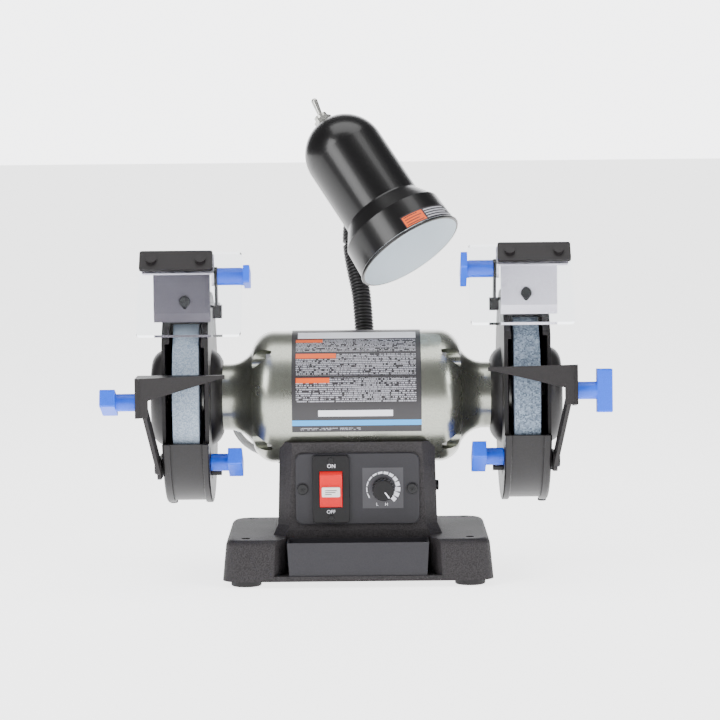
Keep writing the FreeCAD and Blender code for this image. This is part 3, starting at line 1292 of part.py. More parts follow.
def lamp_shade():
    """Spun shade: domed cylinder with a wide collar at its mouth and a rolled edge."""
    outer = turned_z(shade_profile(0.0))
    inner = turned_z(shade_profile(SHADE_WALL))
    inner = inner.fuse(rod_z(-1, 0, MOUTH_R - SHADE_WALL))
    bead = Part.makeTorus(MOUTH_R - 0.2, 1.2, V(0, 0, 1.2), V(0, 0, 1))
    shell = joined(outer, bead).cut(inner)
    shell = shell.cut(rod_z(SHADE_LENGTH - 10, SHADE_LENGTH + 2, TOGGLE_BUSH_R))
    shell = pointed(shell, MOUTH_CENTRE, shade_direction() * -1)
    swivel_hole = Part.makeCylinder(4.0, 10, shade_point(SWIVEL_FROM_MOUTH, SHADE_R - 5),
                                    swivel_direction())
    return shell.cut(swivel_hole)


TOGGLE_BUSH_R = 5.5
TOGGLE_LEAN = 10.0


def lamp_fittings():
    """Switch bush with its nut on the dome, and the swivel boss on the shade's back."""
    dome = SHADE_LENGTH
    bush = rod_z(dome - 8, dome + 7, TOGGLE_BUSH_R)
    nut = Part.Face(Part.makePolygon([V(7.6 * math.cos(math.radians(60 * k)),
                                        7.6 * math.sin(math.radians(60 * k)), dome + 0.2)
                                      for k in range(7)])).extrude(V(0, 0, 3.4))
    body = rod_z(dome - 22, dome - 8, 9.0)
    cone = Part.makeCone(1.8, 4.6, 5.0, V(0, 0, dome + 2.2), V(0, 0, 1))
    switch = pointed(joined(bush, nut, body).cut(cone), MOUTH_CENTRE, shade_direction() * -1)

    side = swivel_direction()
    foot = SHADE_R - 0.9
    boss = turned_z([(0, foot), (10.5, foot), (10.5, foot + 4), (8.5, foot + 6),
                     (8.5, SHADE_R + SWIVEL_OUT - BEND_GAP), (0, SHADE_R + SWIVEL_OUT - BEND_GAP)])
    boss = pointed(boss, shade_point(SWIVEL_FROM_MOUTH), side)
    shade_body = pointed(rod_z(0, SHADE_LENGTH, SHADE_R), MOUTH_CENTRE, shade_direction() * -1)
    neck_pin = Part.makeCylinder(4.0, 6.0, shade_point(SWIVEL_FROM_MOUTH, SHADE_R - 4.5), side)
    boss = joined(boss.cut(shade_body), neck_pin)
    recess = Part.makeSphere(BALL_R + GAP, head_bend())
    return group([switch, boss.cut(recess)])


def bulb_socket():
    """Screw socket for the bulb, on its holder under the dome."""
    end = SHADE_LENGTH - 22
    start = end - BULB_BORE_DEPTH - 6
    socket = turned_z([(0, start), (17.5, start), (18.5, start + 2), (18.5, end - 4), (15, end), (0, end)])
    bore = rod_z(start - 1, start + BULB_BORE_DEPTH, BULB_BORE_R)
    tabs = [block(sign * 24.5 - 7.5, sign * 24.5 + 7.5, -5, 5, end - 7, end - 5) for sign in (-1, 1)]
    socket = joined(socket, *tabs).common(turned_z(shade_profile(SHADE_WALL + 0.1)))
    return pointed(socket.cut(bore), MOUTH_CENTRE, shade_direction() * -1)


def toggle_pivot():
    return shade_point(SHADE_LENGTH + 5.0)


def toggle_axis():
    """The lever rocks across the shade's axis, in the plane that faces the front."""
    axis = shade_direction().cross(V(0, 1, 0).cross(shade_direction()))
    axis.normalize()
    return axis


def lamp_toggle():
    """Bat-shaped lever, set to one side of its throw."""
    stem = 15.5
    tip_r = 2.6
    taper = Part.makeCone(1.6, tip_r, stem + 1.6, V(0, 0, -1.6))
    lever = joined(taper, Part.makeSphere(tip_r, V(0, 0, stem)))
    lever = pointed(lever, toggle_pivot(), shade_direction() * -1)
    lever.rotate(toggle_pivot(), toggle_axis(), TOGGLE_LEAN)
    return lever


# ---- every node ---------------------------------------------------------------------

def nodes():
    """Every sub-part, by the name of its file."""
    parts = {
        "pedestal": pedestal(), "base_plate": base_plate(), "feet": feet(), "quench_tray": quench_tray(),
        "control_panel": control_panel(), "panel_screws": panel_screws(), "switch_body": switch_body(),
        "switch_rocker": switch_rocker(), "safety_key": safety_key(), "speed_control": speed_control(),
        "speed_knob": speed_knob(), "control_board": control_board(),
        "motor_shell": motor_shell(), "tie_bolts": tie_bolts(), "stator_core": stator_core(),
        "stator_windings": stator_windings(), "bearings": bearings(),
        "motor_lead": motor_lead(), "grommets": grommets(), "guard_screws": guard_screws(),
        "shaft": lifted(shaft()), "rotor_core": lifted(rotor_core()),
        "wheel_flanges": both_ends(wheel_flange(WHEEL_IN, -1)).fuse(both_ends(wheel_flange(WHEEL_OUT, 1))),
        "arbor_nuts": both_ends(arbor_nut()),
        "gooseneck_socket": gooseneck_socket(), "gooseneck_lower": gooseneck_lower(),
        "gooseneck_upper": gooseneck_upper(), "lamp_shade": lamp_shade(), "lamp_fittings": lamp_fittings(),
        "bulb_socket": bulb_socket(), "lamp_toggle": lamp_toggle(),
    }
    for side in SIDES:
        straight = {"end_bell": end_bell(GUARD_TURN[side]), "wheel": wheel()}
        for name, shape in straight.items():
            parts[name + "_" + side] = lifted(mirrored(shape) if side == "left" else shape)
        turned = {
            "guard": guard(), "guard_cover": guard_cover(), "shroud": shroud(),
            "shroud_knob": shroud_knob(side), "rest_arm": rest_arm(),
            "tool_rest": tilted_rest(tool_rest(), side), "rest_knob": rest_knob(side),
            "shield_bracket": shield_bracket(), "eye_shield": eye_shield(),
            "shield_strip": shield_strip(), "shield_knob": shield_knob(side),
            "spark_arrestor": spark_arrestor(),
        }
        for name, shape in turned.items():
            parts[name + "_" + side] = on_side(shape, side)
    return parts


def main():
    os.makedirs("parts", exist_ok=True)
    for name, shape in nodes().items():
        shape.exportStep("parts/%s.step" % name)
        box = shape.BoundBox
        print("%-22s solids %2d valid %s volume %9.1f x %.1f..%.1f y %.1f..%.1f z %.1f..%.1f" % (
            name, len(shape.Solids), shape.isValid(), shape.Volume,
            box.XMin, box.XMax, box.YMin, box.YMax, box.ZMin, box.ZMax))


main()
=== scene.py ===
# %% [markdown]
# # A bench grinder with a work lamp
# The steel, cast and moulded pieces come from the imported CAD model, which is a fixed
# frame. This lesson gives each of them a finish, and models what CAD leaves plain: the
# ribbed gooseneck, the motor's lead, the printed labels and the marks on the controls.

# %% Load the frame
import json
import math

import bpy
from mathutils import Matrix, Vector


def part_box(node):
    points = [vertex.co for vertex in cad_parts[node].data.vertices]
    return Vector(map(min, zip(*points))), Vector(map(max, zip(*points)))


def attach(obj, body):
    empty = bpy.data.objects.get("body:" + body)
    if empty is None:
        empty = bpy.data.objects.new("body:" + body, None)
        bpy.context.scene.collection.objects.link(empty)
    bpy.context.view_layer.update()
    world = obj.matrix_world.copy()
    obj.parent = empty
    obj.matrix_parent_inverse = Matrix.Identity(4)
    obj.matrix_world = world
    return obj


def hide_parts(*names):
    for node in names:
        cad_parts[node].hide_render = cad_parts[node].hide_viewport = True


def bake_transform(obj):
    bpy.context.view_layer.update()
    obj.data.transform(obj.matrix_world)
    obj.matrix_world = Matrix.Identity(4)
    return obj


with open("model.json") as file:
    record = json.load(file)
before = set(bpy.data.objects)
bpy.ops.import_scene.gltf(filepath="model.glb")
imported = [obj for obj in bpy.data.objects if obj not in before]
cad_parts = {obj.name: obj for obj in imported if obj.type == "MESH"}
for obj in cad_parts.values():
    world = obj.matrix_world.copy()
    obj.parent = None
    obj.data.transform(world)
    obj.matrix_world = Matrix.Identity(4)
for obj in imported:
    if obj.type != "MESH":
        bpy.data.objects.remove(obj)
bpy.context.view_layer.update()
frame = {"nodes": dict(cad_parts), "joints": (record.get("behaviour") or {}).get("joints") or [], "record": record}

MM = 0.001
nodes = frame["nodes"]
joint_at = {joint["name"]: Vector(joint["pos_m"]) for joint in frame["joints"] if "pos_m" in joint}
SPINDLE = joint_at["spindle_spin"]

# %% [markdown]
# ## Camera, floor and light
# A grinder is shown from straight ahead and a little above, with a long lens, so that its
# two wheels look alike. A tracking rotation aims the camera and keeps the horizon level,
# and a roll of half a degree is added after it. A cyclorama hides the edge between floor
# and wall; here a large pale floor and a world that glows behind the object come close to
# that, and stay darker in front, so black paint keeps its depth. Three large soft panels
# draw long, calm highlights on round black enamel and on the motor.

# %% Camera
CAMERA_DISTANCE = 2.285
CAMERA_HEIGHT = 0.350
AIM_HEIGHT = 0.1692
AIM_ASIDE = 0.0029
CAMERA_ROLL = math.radians(-0.55)
FOCAL_LENGTH_MM = 145.2
aim = Vector((AIM_ASIDE, 0.0, AIM_HEIGHT))
bpy.ops.object.camera_add(location=(aim.x, -CAMERA_DISTANCE, CAMERA_HEIGHT))
camera = bpy.context.object
camera.name = "front_camera"
camera.rotation_euler = (aim - camera.location).to_track_quat("-Z", "Y").to_euler()
camera.rotation_euler.rotate_axis("Z", CAMERA_ROLL)
camera.data.lens = FOCAL_LENGTH_MM
camera.data.clip_end = 50
bpy.context.scene.camera = camera


# %% Nothing selected, then one thing selected
def only(piece):
    """Selects one object and nothing else, as most operators expect."""
    bpy.ops.object.select_all(action="DESELECT")
    piece.select_set(True)
    bpy.context.view_layer.objects.active = piece


# %% Colours and shader nodes
def linear(hex_colour):
    """An sRGB hex colour as the linear values that a socket expects."""
    parts = [int(hex_colour[k:k + 2], 16) / 255 for k in (1, 3, 5)]
    return [p / 12.92 if p <= 0.04045 else ((p + 0.055) / 1.055) ** 2.4 for p in parts] + [1.0]


def finish_called(name, settings):
    """A new material; settings are values for the sockets of its Principled shader."""
    material = bpy.data.materials.new(name)
    material.use_nodes = True
    shader = material.node_tree.nodes["Principled BSDF"]
    for socket, value in settings.items():
        shader.inputs[socket].default_value = value
    return material, shader


def add(material, kind, settings, links):
    """Adds a node, sets its sockets or properties, and links outputs into its sockets."""
    node = material.node_tree.nodes.new(kind)
    for name, value in settings.items():
        if isinstance(name, int) or name in node.inputs:
            node.inputs[name].default_value = value
        else:
            setattr(node, name, value)
    for name, output in links.items():
        material.node_tree.links.new(output, node.inputs[name])
    return node


# %% Floor
bpy.ops.mesh.primitive_plane_add(size=60, location=(0, 0, 0))
floor = bpy.context.object
floor.name = "studio_floor"
paper, paper_shader = finish_called("matt_paper", {
    "Base Color": linear("#f4f4f5"), "Roughness": 0.9,
    "Emission Color": linear("#ffffff"), "Emission Strength": 2.7})
paper_grain = add(paper, "ShaderNodeTexNoise", {"Scale": 900.0},
                  {"Vector": add(paper, "ShaderNodeTexCoord", {}, {}).outputs["Object"]})
paper_bump = add(paper, "ShaderNodeBump", {"Strength": 0.05, "Distance": 0.0002},
                 {"Height": paper_grain.outputs["Fac"]})
paper.node_tree.links.new(paper_bump.outputs["Normal"], paper_shader.inputs["Normal"])
floor.data.materials.append(paper)

# %% World and soft panels
world = bpy.data.worlds.new("pale_studio")
world.use_nodes = True
backdrop = world.node_tree.nodes["Background"]
backdrop.inputs["Color"].default_value = linear("#fbfbfd")
towards = add(world, "ShaderNodeSeparateXYZ", {},
              {"Vector": add(world, "ShaderNodeTexCoord", {}, {}).outputs["Generated"]})
glow = add(world, "ShaderNodeMapRange",
           {"From Min": 0.80, "From Max": 0.93, "To Min": 0.22, "To Max": 5.0},
           {"Value": towards.outputs["Y"]})
world.node_tree.links.new(glow.outputs["Result"], backdrop.inputs["Strength"])
bpy.context.scene.world = world


def soft_panel(name, place, width, height, watts):
    """A rectangular soft light at a place, turned to face the grinder."""
    bpy.ops.object.light_add(type="AREA", location=place)
    light = bpy.context.object
    light.name = name
    light.rotation_euler = (SPINDLE - light.location).to_track_quat("-Z", "Y").to_euler()
    light.data.shape = "RECTANGLE"
    light.data.size = width
    light.data.size_y = height
    light.data.energy = watts


soft_panel("key_panel", Vector((-1.3, -1.2, 1.1)), 0.7, 1.2, 24)
soft_panel("fill_panel", Vector((1.4, -1.1, 0.8)), 0.5, 1.2, 16)
soft_panel("top_panel", Vector((0.0, -0.1, 1.7)), 1.6, 1.0, 20)

# %% [markdown]
# ## The motor's lead
# A short black lead leaves a rubber grommet on the back of the motor's left neck, hangs
# down in a curve and goes through a second grommet into the column. It is held at both
# ends, so its far end is the object. A cord is a NURBS curve with a round bevel: the few
# control points are the route, and the curve between them is smooth by itself.

# %% Lead
LEAD_DIAMETER = 0.0056
lead_points = [(-0.098, 0.0265, 0.1282), (-0.0985, 0.034, 0.1215), (-0.0975, 0.038, 0.1105),
               (-0.091, 0.0385, 0.101), (-0.081, 0.037, 0.0945), (-0.0715, 0.0355, 0.091),
               (-0.0655, 0.035, 0.0905)]
lead_curve = bpy.data.curves.new("motor_lead_cable", "CURVE")
lead_curve.dimensions = "3D"
lead_curve.bevel_depth = LEAD_DIAMETER / 2
lead_curve.bevel_resolution = 6
lead_curve.use_fill_caps = True
lead_line = lead_curve.splines.new("NURBS")
lead_line.points.add(len(lead_points) - 1)
for point, place in zip(lead_line.points, lead_points):
    point.co = (*place, 1.0)
lead_line.order_u = 3
lead_line.use_endpoint_u = True
lead_line.resolution_u = 12
lead = bpy.data.objects.new("motor_lead_cable", lead_curve)
bpy.context.scene.collection.objects.link(lead)
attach(lead, "root")
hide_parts("motor_lead")

# %% [markdown]
# ## Painted and moulded finishes
# Most of this machine is paint over iron or steel, or moulded plastic. What tells them
# apart is gloss and grain: a textured powder coat has a pebbled skin a millimetre across,
# a satin enamel has a faint orange peel, and nylon has the fine spark grain of its mould.
# One function builds that family. It reads Object coordinates, so the grain keeps its real
# size in metres on every piece, and a slow second noise varies the gloss a little.


# %% A skin with a grain
def grained(name, colour, dark_colour, roughness, grain_mm, relief_mm, settings=None):
    """A coloured skin: grain_mm is the size of its pebbles, relief_mm their height."""
    material, shader = finish_called(name, {"Roughness": roughness, **(settings or {})})
    place = add(material, "ShaderNodeTexCoord", {}, {}).outputs["Object"]
    pebbles = add(material, "ShaderNodeTexNoise", {"Scale": 1 / (grain_mm * MM), "Detail": 3.0},
                  {"Vector": place})
    tint = add(material, "ShaderNodeValToRGB", {}, {"Fac": pebbles.outputs["Fac"]})
    tint.color_ramp.elements[0].position = 0.35
    tint.color_ramp.elements[0].color = linear(dark_colour)
    tint.color_ramp.elements[1].position = 0.62
    tint.color_ramp.elements[1].color = linear(colour)
    cloud = add(material, "ShaderNodeTexNoise", {"Scale": 22.0, "Detail": 4.0}, {"Vector": place})
    gloss = add(material, "ShaderNodeMapRange",
                {"To Min": roughness - 0.05, "To Max": roughness + 0.07}, {"Value": cloud.outputs["Fac"]})
    relief = add(material, "ShaderNodeBump", {"Strength": 1.0, "Distance": relief_mm * MM},
                 {"Height": pebbles.outputs["Fac"]})
    links = material.node_tree.links
    links.new(tint.outputs["Color"], shader.inputs["Base Color"])
    links.new(gloss.outputs["Result"], shader.inputs["Roughness"])
    links.new(relief.outputs["Normal"], shader.inputs["Normal"])
    return material


finish = {}

# %% Textured powder coat on cast iron
# Iron castings are sprayed with a wrinkle powder that hides the sand's marks: it has no
# clear highlight, only a soft pebbled sheen.
finish["casting_paint"] = grained("wrinkle_powder_coat", "#312e30", "#1d1b1c", 0.62, 0.9, 0.30,
                                  {"Specular IOR Level": 0.3})

# %% Smooth dark paint on the switch plate and tray
# Sheet steel sprayed without a texture: even, a shade bluer than the casting, and dull.
finish["panel_paint"] = grained("smooth_grey_paint", "#2c2b2f", "#262529", 0.46, 0.6, 0.02,
                                 {"Specular IOR Level": 0.3})

# %% Satin black enamel on the guards
# Pressed steel with a sprayed enamel: it has a faint orange peel and one soft highlight.
finish["guard_paint"] = grained("satin_black_enamel", "#1c1a1b", "#141213", 0.42, 0.9, 0.03,
                                {"Specular IOR Level": 0.3})

# %% Powder coat on rests, arms and strips
# Bent plate with a finer powder than the casting's, so it reads as nearly smooth.
finish["rest_paint"] = grained("fine_powder_coat", "#242122", "#1a1819", 0.50, 0.5, 0.06,
                               {"Specular IOR Level": 0.3})

# %% Champagne metallic enamel on the motor
# Aluminium flakes under a clear lacquer: metal in colour and mirror-like in a wide, soft
# way, with flakes a fraction of a millimetre across.
finish["motor_paint"] = grained("champagne_metallic", "#a9aba0", "#8a8c82", 0.27, 0.45, 0.006,
                                {"Metallic": 0.9, "Coat Weight": 0.3, "Coat Roughness": 0.1})

# %% Metals
# Zinc plate is pale and a little cloudy, black oxide is dark and soft, and bare sheet shows
# bright with a faint mottle. One spark arrestor hangs in shade, so its steel is a darker
# copy of the bare sheet: painted shade.
finish["zinc_steel"] = grained("zinc_plate", "#c3c3bf", "#a5a5a0", 0.32, 0.7, 0.01, {"Metallic": 1.0})
finish["screw_steel"] = grained("black_oxide", "#2a2a2b", "#1c1c1d", 0.38, 0.4, 0.01, {"Metallic": 0.6})
finish["arrestor_steel"] = grained("bare_steel_sheet", "#e4e0ea", "#cfcad6", 0.42, 1.4, 0.01,
                                   {"Metallic": 0.55})
# A darker copy of the bare steel sheet: painted shade for the arrestor that hangs in shade.
painted_shade_steel = grained("steel_sheet_painted_shade", "#5f5b64", "#4b4750", 0.45, 1.4, 0.01, {"Metallic": 0.55})
finish["iron_core"] = grained("lamination_steel", "#77767a", "#5a595c", 0.45, 0.5, 0.02, {"Metallic": 0.9})
finish["copper_wire"] = grained("enamelled_copper", "#b0602c", "#7e3d18", 0.35, 0.8, 0.12,
                                {"Metallic": 0.85})

# %% Plastics, rubber and small parts
# Nylon knobs are blue right through and slightly waxy, so light goes a little way in. The
# red rocker is translucent too, and a little emission is painted glow, standing for the light
# that scatters in its body.
finish["knob_plastic"] = grained("blue_nylon", "#0b5cf0", "#0850dc", 0.42, 0.5, 0.02,
                                 {"Subsurface Weight": 0.15, "Subsurface Radius": (0.002, 0.003, 0.006)})
finish["black_plastic"] = grained("black_abs", "#111012", "#0c0b0d", 0.34, 0.35, 0.02,
                                  {"Specular IOR Level": 0.25})
finish["foot_rubber"] = grained("black_rubber", "#1f1e1f", "#171617", 0.7, 0.6, 0.05)
finish["lead_sheath"] = grained("pvc_sheath", "#1d1c1d", "#161516", 0.45, 0.6, 0.02)
finish["neck_sheath"] = grained("black_gooseneck_enamel", "#232224", "#1a191b", 0.38, 0.5, 0.01)
finish["key_white"] = grained("white_abs", "#e8e6e2", "#dcdad5", 0.35, 0.4, 0.01)
finish["socket_ceramic"] = grained("glazed_ceramic", "#efece4", "#e2ded4", 0.25, 1.5, 0.02)
finish["board"] = grained("green_laminate", "#2c6b45", "#235638", 0.45, 1.0, 0.01)
# The emission in this finish is painted glow.
finish["rocker_red"] = grained("red_polycarbonate_painted_glow", "#d2060e", "#c2040a", 0.35, 0.5, 0.01,
                               {"Emission Color": linear("#ff1015"), "Emission Strength": 0.25,
                                "Specular IOR Level": 0.25, "Subsurface Weight": 0.2,
                                "Subsurface Radius": (0.004, 0.001, 0.001)})

# %% [markdown]
# ## Abrasive wheels
# A grinding wheel is grains of aluminium oxide glued with glass. It has no gloss, each
# grain has its own tone, and pores show as dark specks. Grains of a 36-grit wheel are half
# a millimetre across, too fine to show from here, so they are drawn 1.1 mm across on the
# coarse wheel and 0.7 mm on the fine one. A Voronoi cell per grain gives each its own grey.


# %% Vitrified grit
def vitrified_grit(name, light, dark, grain_mm):
    """A matt body of grains, each with a tone of its own between two colours."""
    material, shader = finish_called(name, {"Roughness": 0.88})
    place = add(material, "ShaderNodeTexCoord", {}, {}).outputs["Object"]
    grains = add(material, "ShaderNodeTexVoronoi", {"Scale": 1 / (grain_mm * MM)}, {"Vector": place})
    tones = add(material, "ShaderNodeSeparateColor", {}, {"Color": grains.outputs["Color"]})
    tint = add(material, "ShaderNodeValToRGB", {}, {"Fac": tones.outputs["Red"]})
    tint.color_ramp.elements[0].color = linear(dark)
    tint.color_ramp.elements[1].color = linear(light)
    relief = add(material, "ShaderNodeBump", {"Strength": 1.0, "Distance": 0.4 * grain_mm * MM},
                 {"Height": grains.outputs["Distance"]})
    material.node_tree.links.new(tint.outputs["Color"], shader.inputs["Base Color"])
    material.node_tree.links.new(relief.outputs["Normal"], shader.inputs["Normal"])
    return material


finish["wheel_grit"] = vitrified_grit("blue_grey_grit_coarse", "#8f9fb2", "#4d5968", 1.1)
fine_grit = vitrified_grit("blue_grey_grit_fine", "#a9b6c4", "#758599", 0.7)

# %% [markdown]
# ## Eye shields
# The shields are sheets of clear acrylic, 3 mm thick. It is all refraction, and the face
# is nearly invisible. Acrylic's own index is 1.49; the finish has 1.12, for a fainter face.

# %% Clear acrylic
clear, clear_shader = finish_called("clear_acrylic", {
    "Base Color": linear("#f8fbfd"), "Roughness": 0.01, "IOR": 1.12, "Transmission Weight": 1.0})
clear_place = add(clear, "ShaderNodeTexCoord", {}, {}).outputs["Object"]
clear_wave = add(clear, "ShaderNodeTexNoise", {"Scale": 40.0}, {"Vector": clear_place})
clear_bump = add(clear, "ShaderNodeBump", {"Strength": 0.1, "Distance": 0.0002},
                 {"Height": clear_wave.outputs["Fac"]})
clear.node_tree.links.new(clear_bump.outputs["Normal"], clear_shader.inputs["Normal"])
finish["shield_clear"] = clear

# %% [markdown]
# ## Lamp shade
# A spun steel shade is enamelled gloss black outside and white inside, so that it throws
# the light forward. It is one CAD piece, so one finish has to know inside from outside:
# seen from a point in the shade's middle, the outer face's normal looks away and the inner
# face's normal looks back. The sign of one dot product picks the colour.

# %% Two-sided enamel
shade_low, shade_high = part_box("lamp_shade")
shade_middle = (shade_low + shade_high) / 2
enamel, enamel_shader = finish_called("gloss_enamel", {"Coat Weight": 0.2, "Coat Roughness": 0.12,
                                                        "Specular IOR Level": 0.35})
enamel_place = add(enamel, "ShaderNodeTexCoord", {}, {})
from_middle = add(enamel, "ShaderNodeVectorMath", {"operation": "SUBTRACT", 1: shade_middle},
                  {0: enamel_place.outputs["Object"]})
facing = add(enamel, "ShaderNodeVectorMath", {"operation": "DOT_PRODUCT"},
             {0: from_middle.outputs["Vector"], 1: enamel_place.outputs["Normal"]})
is_outside = add(enamel, "ShaderNodeMath", {"operation": "GREATER_THAN", 1: 0.0},
                 {0: facing.outputs["Value"]})
sides = add(enamel, "ShaderNodeValToRGB", {}, {"Fac": is_outside.outputs["Value"]})
sides.color_ramp.elements[0].color = linear("#e9f2f8")
sides.color_ramp.elements[1].color = linear("#0a090a")
enamel_gloss = add(enamel, "ShaderNodeMapRange", {"To Min": 0.5, "To Max": 0.3},
                   {"Value": is_outside.outputs["Value"]})
peel = add(enamel, "ShaderNodeTexNoise", {"Scale": 500.0}, {"Vector": enamel_place.outputs["Object"]})
enamel_bump = add(enamel, "ShaderNodeBump", {"Strength": 0.3, "Distance": 0.00003},
                  {"Height": peel.outputs["Fac"]})
for output, socket in ((sides.outputs["Color"], "Base Color"),
                       (enamel_gloss.outputs["Result"], "Roughness"),
                       (enamel_bump.outputs["Normal"], "Normal")):
    enamel.node_tree.links.new(output, enamel_shader.inputs[socket])
finish["lamp_paint"] = enamel

# %% Give every CAD piece its finish
for part in frame["record"]["subparts"]:
    for material_slot in nodes[part["node"]].material_slots:
        material_slot.material = finish[part["material_slot"]]
# The left spark arrestor takes the darker steel, which is painted shade.
for name, other in (("wheel_left", fine_grit), ("panel_screws", finish["screw_steel"]),
                    ("spark_arrestor_left", painted_shade_steel)):
    for material_slot in nodes[name].material_slots:
        material_slot.material = other

# %% [markdown]
# ## Gooseneck
# A gooseneck is a steel spring with a second wire wound in its gaps, which holds whatever
# curve it is bent to. What shows is a row of round ribs 2.6 mm apart. One rib is a torus;
# an Array modifier repeats it along a line and a Curve modifier bends that line along the
# neck. It bends at three places, and it is made as three lengths.

# %% The neck's line
NECK_R = 8.0 * MM
WIRE_R = 1.35 * MM
RIB_PITCH = 2.6 * MM
foot = joint_at["lamp_base_bend"]
middle = joint_at["lamp_mid_bend"]
head = joint_at["lamp_head_tilt"]
aside = Vector((0.203, 0.929, -0.309)).normalized()
rise = (middle - foot).normalized()
neck_points = [foot, foot.lerp(middle, 0.5), middle, middle + rise * 0.014,
               Vector((-0.006, 0.092, 0.264)), Vector((0.0042, 0.1105, 0.2914)),
               head + aside * 0.0222 + Vector((-0.004, 0, 0.004)), head + aside * 0.006, head]
neck_curve = bpy.data.curves.new("neck_line", "CURVE")
neck_curve.dimensions = "3D"
neck_spline = neck_curve.splines.new("NURBS")
neck_spline.points.add(len(neck_points) - 1)
for point, place in zip(neck_spline.points, neck_points):
    point.co = (*place, 1.0)
neck_spline.order_u = 4
neck_spline.use_endpoint_u = True
neck_spline.resolution_u = 24
neck_line = bpy.data.objects.new("neck_line", neck_curve)
bpy.context.scene.collection.objects.link(neck_line)
NECK_LENGTH = neck_spline.calc_length()
print("gooseneck is", round(NECK_LENGTH * 1000), "mm long")


# %% Ribs along the line
def ribbed_length(name, start, end):
    """Ribs from one distance along the neck's line to another."""
    count = int((end - start) / RIB_PITCH)
    bpy.ops.object.select_all(action="DESELECT")
    bpy.ops.mesh.primitive_torus_add(major_segments=28, minor_segments=10,
                                     major_radius=NECK_R - WIRE_R, minor_radius=WIRE_R,
                                     location=(0, 0, start + RIB_PITCH / 2))
    piece = bpy.context.object
    piece.name = name
    bpy.ops.object.transform_apply(location=True, rotation=True, scale=True)
    row = piece.modifiers.new("row_of_ribs", "ARRAY")
    row.count = count
    row.use_relative_offset = False
    row.use_constant_offset = True
    row.constant_offset_displace = (0, 0, RIB_PITCH)
    follow = piece.modifiers.new("follow_neck", "CURVE")
    follow.object = neck_line
    follow.deform_axis = "POS_Z"
    bpy.ops.object.modifier_apply(modifier="row_of_ribs")
    bpy.ops.object.modifier_apply(modifier="follow_neck")
    bpy.ops.object.shade_smooth()
    piece.data.materials.append(finish["neck_sheath"])
    return piece


UPPER_START = 55 * MM
first_bend = (middle - foot).length
lower_neck = ribbed_length("neck_ribs_lower", 5 * MM, first_bend * 0.5)
middle_neck = ribbed_length("neck_ribs_middle", first_bend * 0.5, first_bend + UPPER_START)
upper_neck = ribbed_length("neck_ribs_upper", first_bend + UPPER_START, NECK_LENGTH - 1 * MM)
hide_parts("gooseneck_lower")
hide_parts("gooseneck_upper")
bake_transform(lower_neck)
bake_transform(middle_neck)
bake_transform(upper_neck)
bpy.data.objects.remove(neck_line)

# %% [markdown]
# ## Printed label on the motor
# The label is a thin foil that follows the shell's curve: dark ground, a white strip along
# its top edge, blocks of small print with orange headings, and a pale blue stripe. Its
# words are left out; the small print is a row pattern. Each area is cut from an open
# cylinder about the spindle: two bisecting planes through the axis leave the arc that the
# area spans, and Solidify gives it the thickness of a coat of ink.

# %% Inks and foils
SHELL_R = 52.0 * MM
INK_THICK = 0.03 * MM


def ink(name, colour):
    """A flat print colour with the fine tooth of a screen print."""
    return grained(name, colour, colour, 0.45, 0.3, 0.004)


charcoal_ink = ink("charcoal_foil", "#2a282b")
white_ink = ink("white_ink", "#e8e8f0")
orange_ink = ink("orange_ink", "#e8590c")
blue_ink = ink("pale_blue_ink", "#2fa0ea")
grey_ink = ink("grey_ink", "#b4b4bb")

# %% Rows of small print, with no letters in them
# The arc's length up the drum sets the row; along the row, noise breaks the line into
# words of uneven length and a finer noise breaks words into strokes.
ROW_PITCH = 1.55 * MM
INKED_SHARE = 0.58
print_ink, print_shader = finish_called("small_print", {"Roughness": 0.45})
print_place = add(print_ink, "ShaderNodeTexCoord", {}, {}).outputs["Object"]
print_xyz = add(print_ink, "ShaderNodeSeparateXYZ", {}, {"Vector": print_place})
height = add(print_ink, "ShaderNodeMath", {"operation": "SUBTRACT", 1: SPINDLE.z},
             {0: print_xyz.outputs["Z"]})
forward = add(print_ink, "ShaderNodeMath", {"operation": "MULTIPLY", 1: -1.0},
              {0: print_xyz.outputs["Y"]})
turn = add(print_ink, "ShaderNodeMath", {"operation": "ARCTAN2"},
           {0: height.outputs["Value"], 1: forward.outputs["Value"]})
row = add(print_ink, "ShaderNodeMath", {"operation": "MULTIPLY", 1: SHELL_R / ROW_PITCH},
          {0: turn.outputs["Value"]})
row_number = add(print_ink, "ShaderNodeMath", {"operation": "FLOOR"}, {0: row.outputs["Value"]})
row_part = add(print_ink, "ShaderNodeMath", {"operation": "FRACT"}, {0: row.outputs["Value"]})
in_row = add(print_ink, "ShaderNodeMath", {"operation": "LESS_THAN", 1: INKED_SHARE},
             {0: row_part.outputs["Value"]})
word_place = add(print_ink, "ShaderNodeCombineXYZ", {},
                 {"X": print_xyz.outputs["X"], "Y": row_number.outputs["Value"]})
is_ink = in_row
for strokes_per_m, share in ((330.0, 0.36), (1500.0, 0.40)):
    stretched = add(print_ink, "ShaderNodeVectorMath",
                    {"operation": "MULTIPLY", 1: (strokes_per_m, 5.3, 1.0)},
                    {0: word_place.outputs["Vector"]})
    broken = add(print_ink, "ShaderNodeTexNoise", {"Scale": 1.0, "Detail": 0.0},
                 {"Vector": stretched.outputs["Vector"]})
    is_stroke = add(print_ink, "ShaderNodeMath", {"operation": "GREATER_THAN", 1: share},
                    {0: broken.outputs["Fac"]})
    is_ink = add(print_ink, "ShaderNodeMath", {"operation": "MULTIPLY"},
                 {0: is_ink.outputs["Value"], 1: is_stroke.outputs["Value"]})
print_tint = add(print_ink, "ShaderNodeValToRGB", {}, {"Fac": is_ink.outputs["Value"]})
print_tint.color_ramp.elements[0].color = linear("#2a282b")
print_tint.color_ramp.elements[1].color = linear("#a6a6ae")
print_ink.node_tree.links.new(print_tint.outputs["Color"], print_shader.inputs["Base Color"])


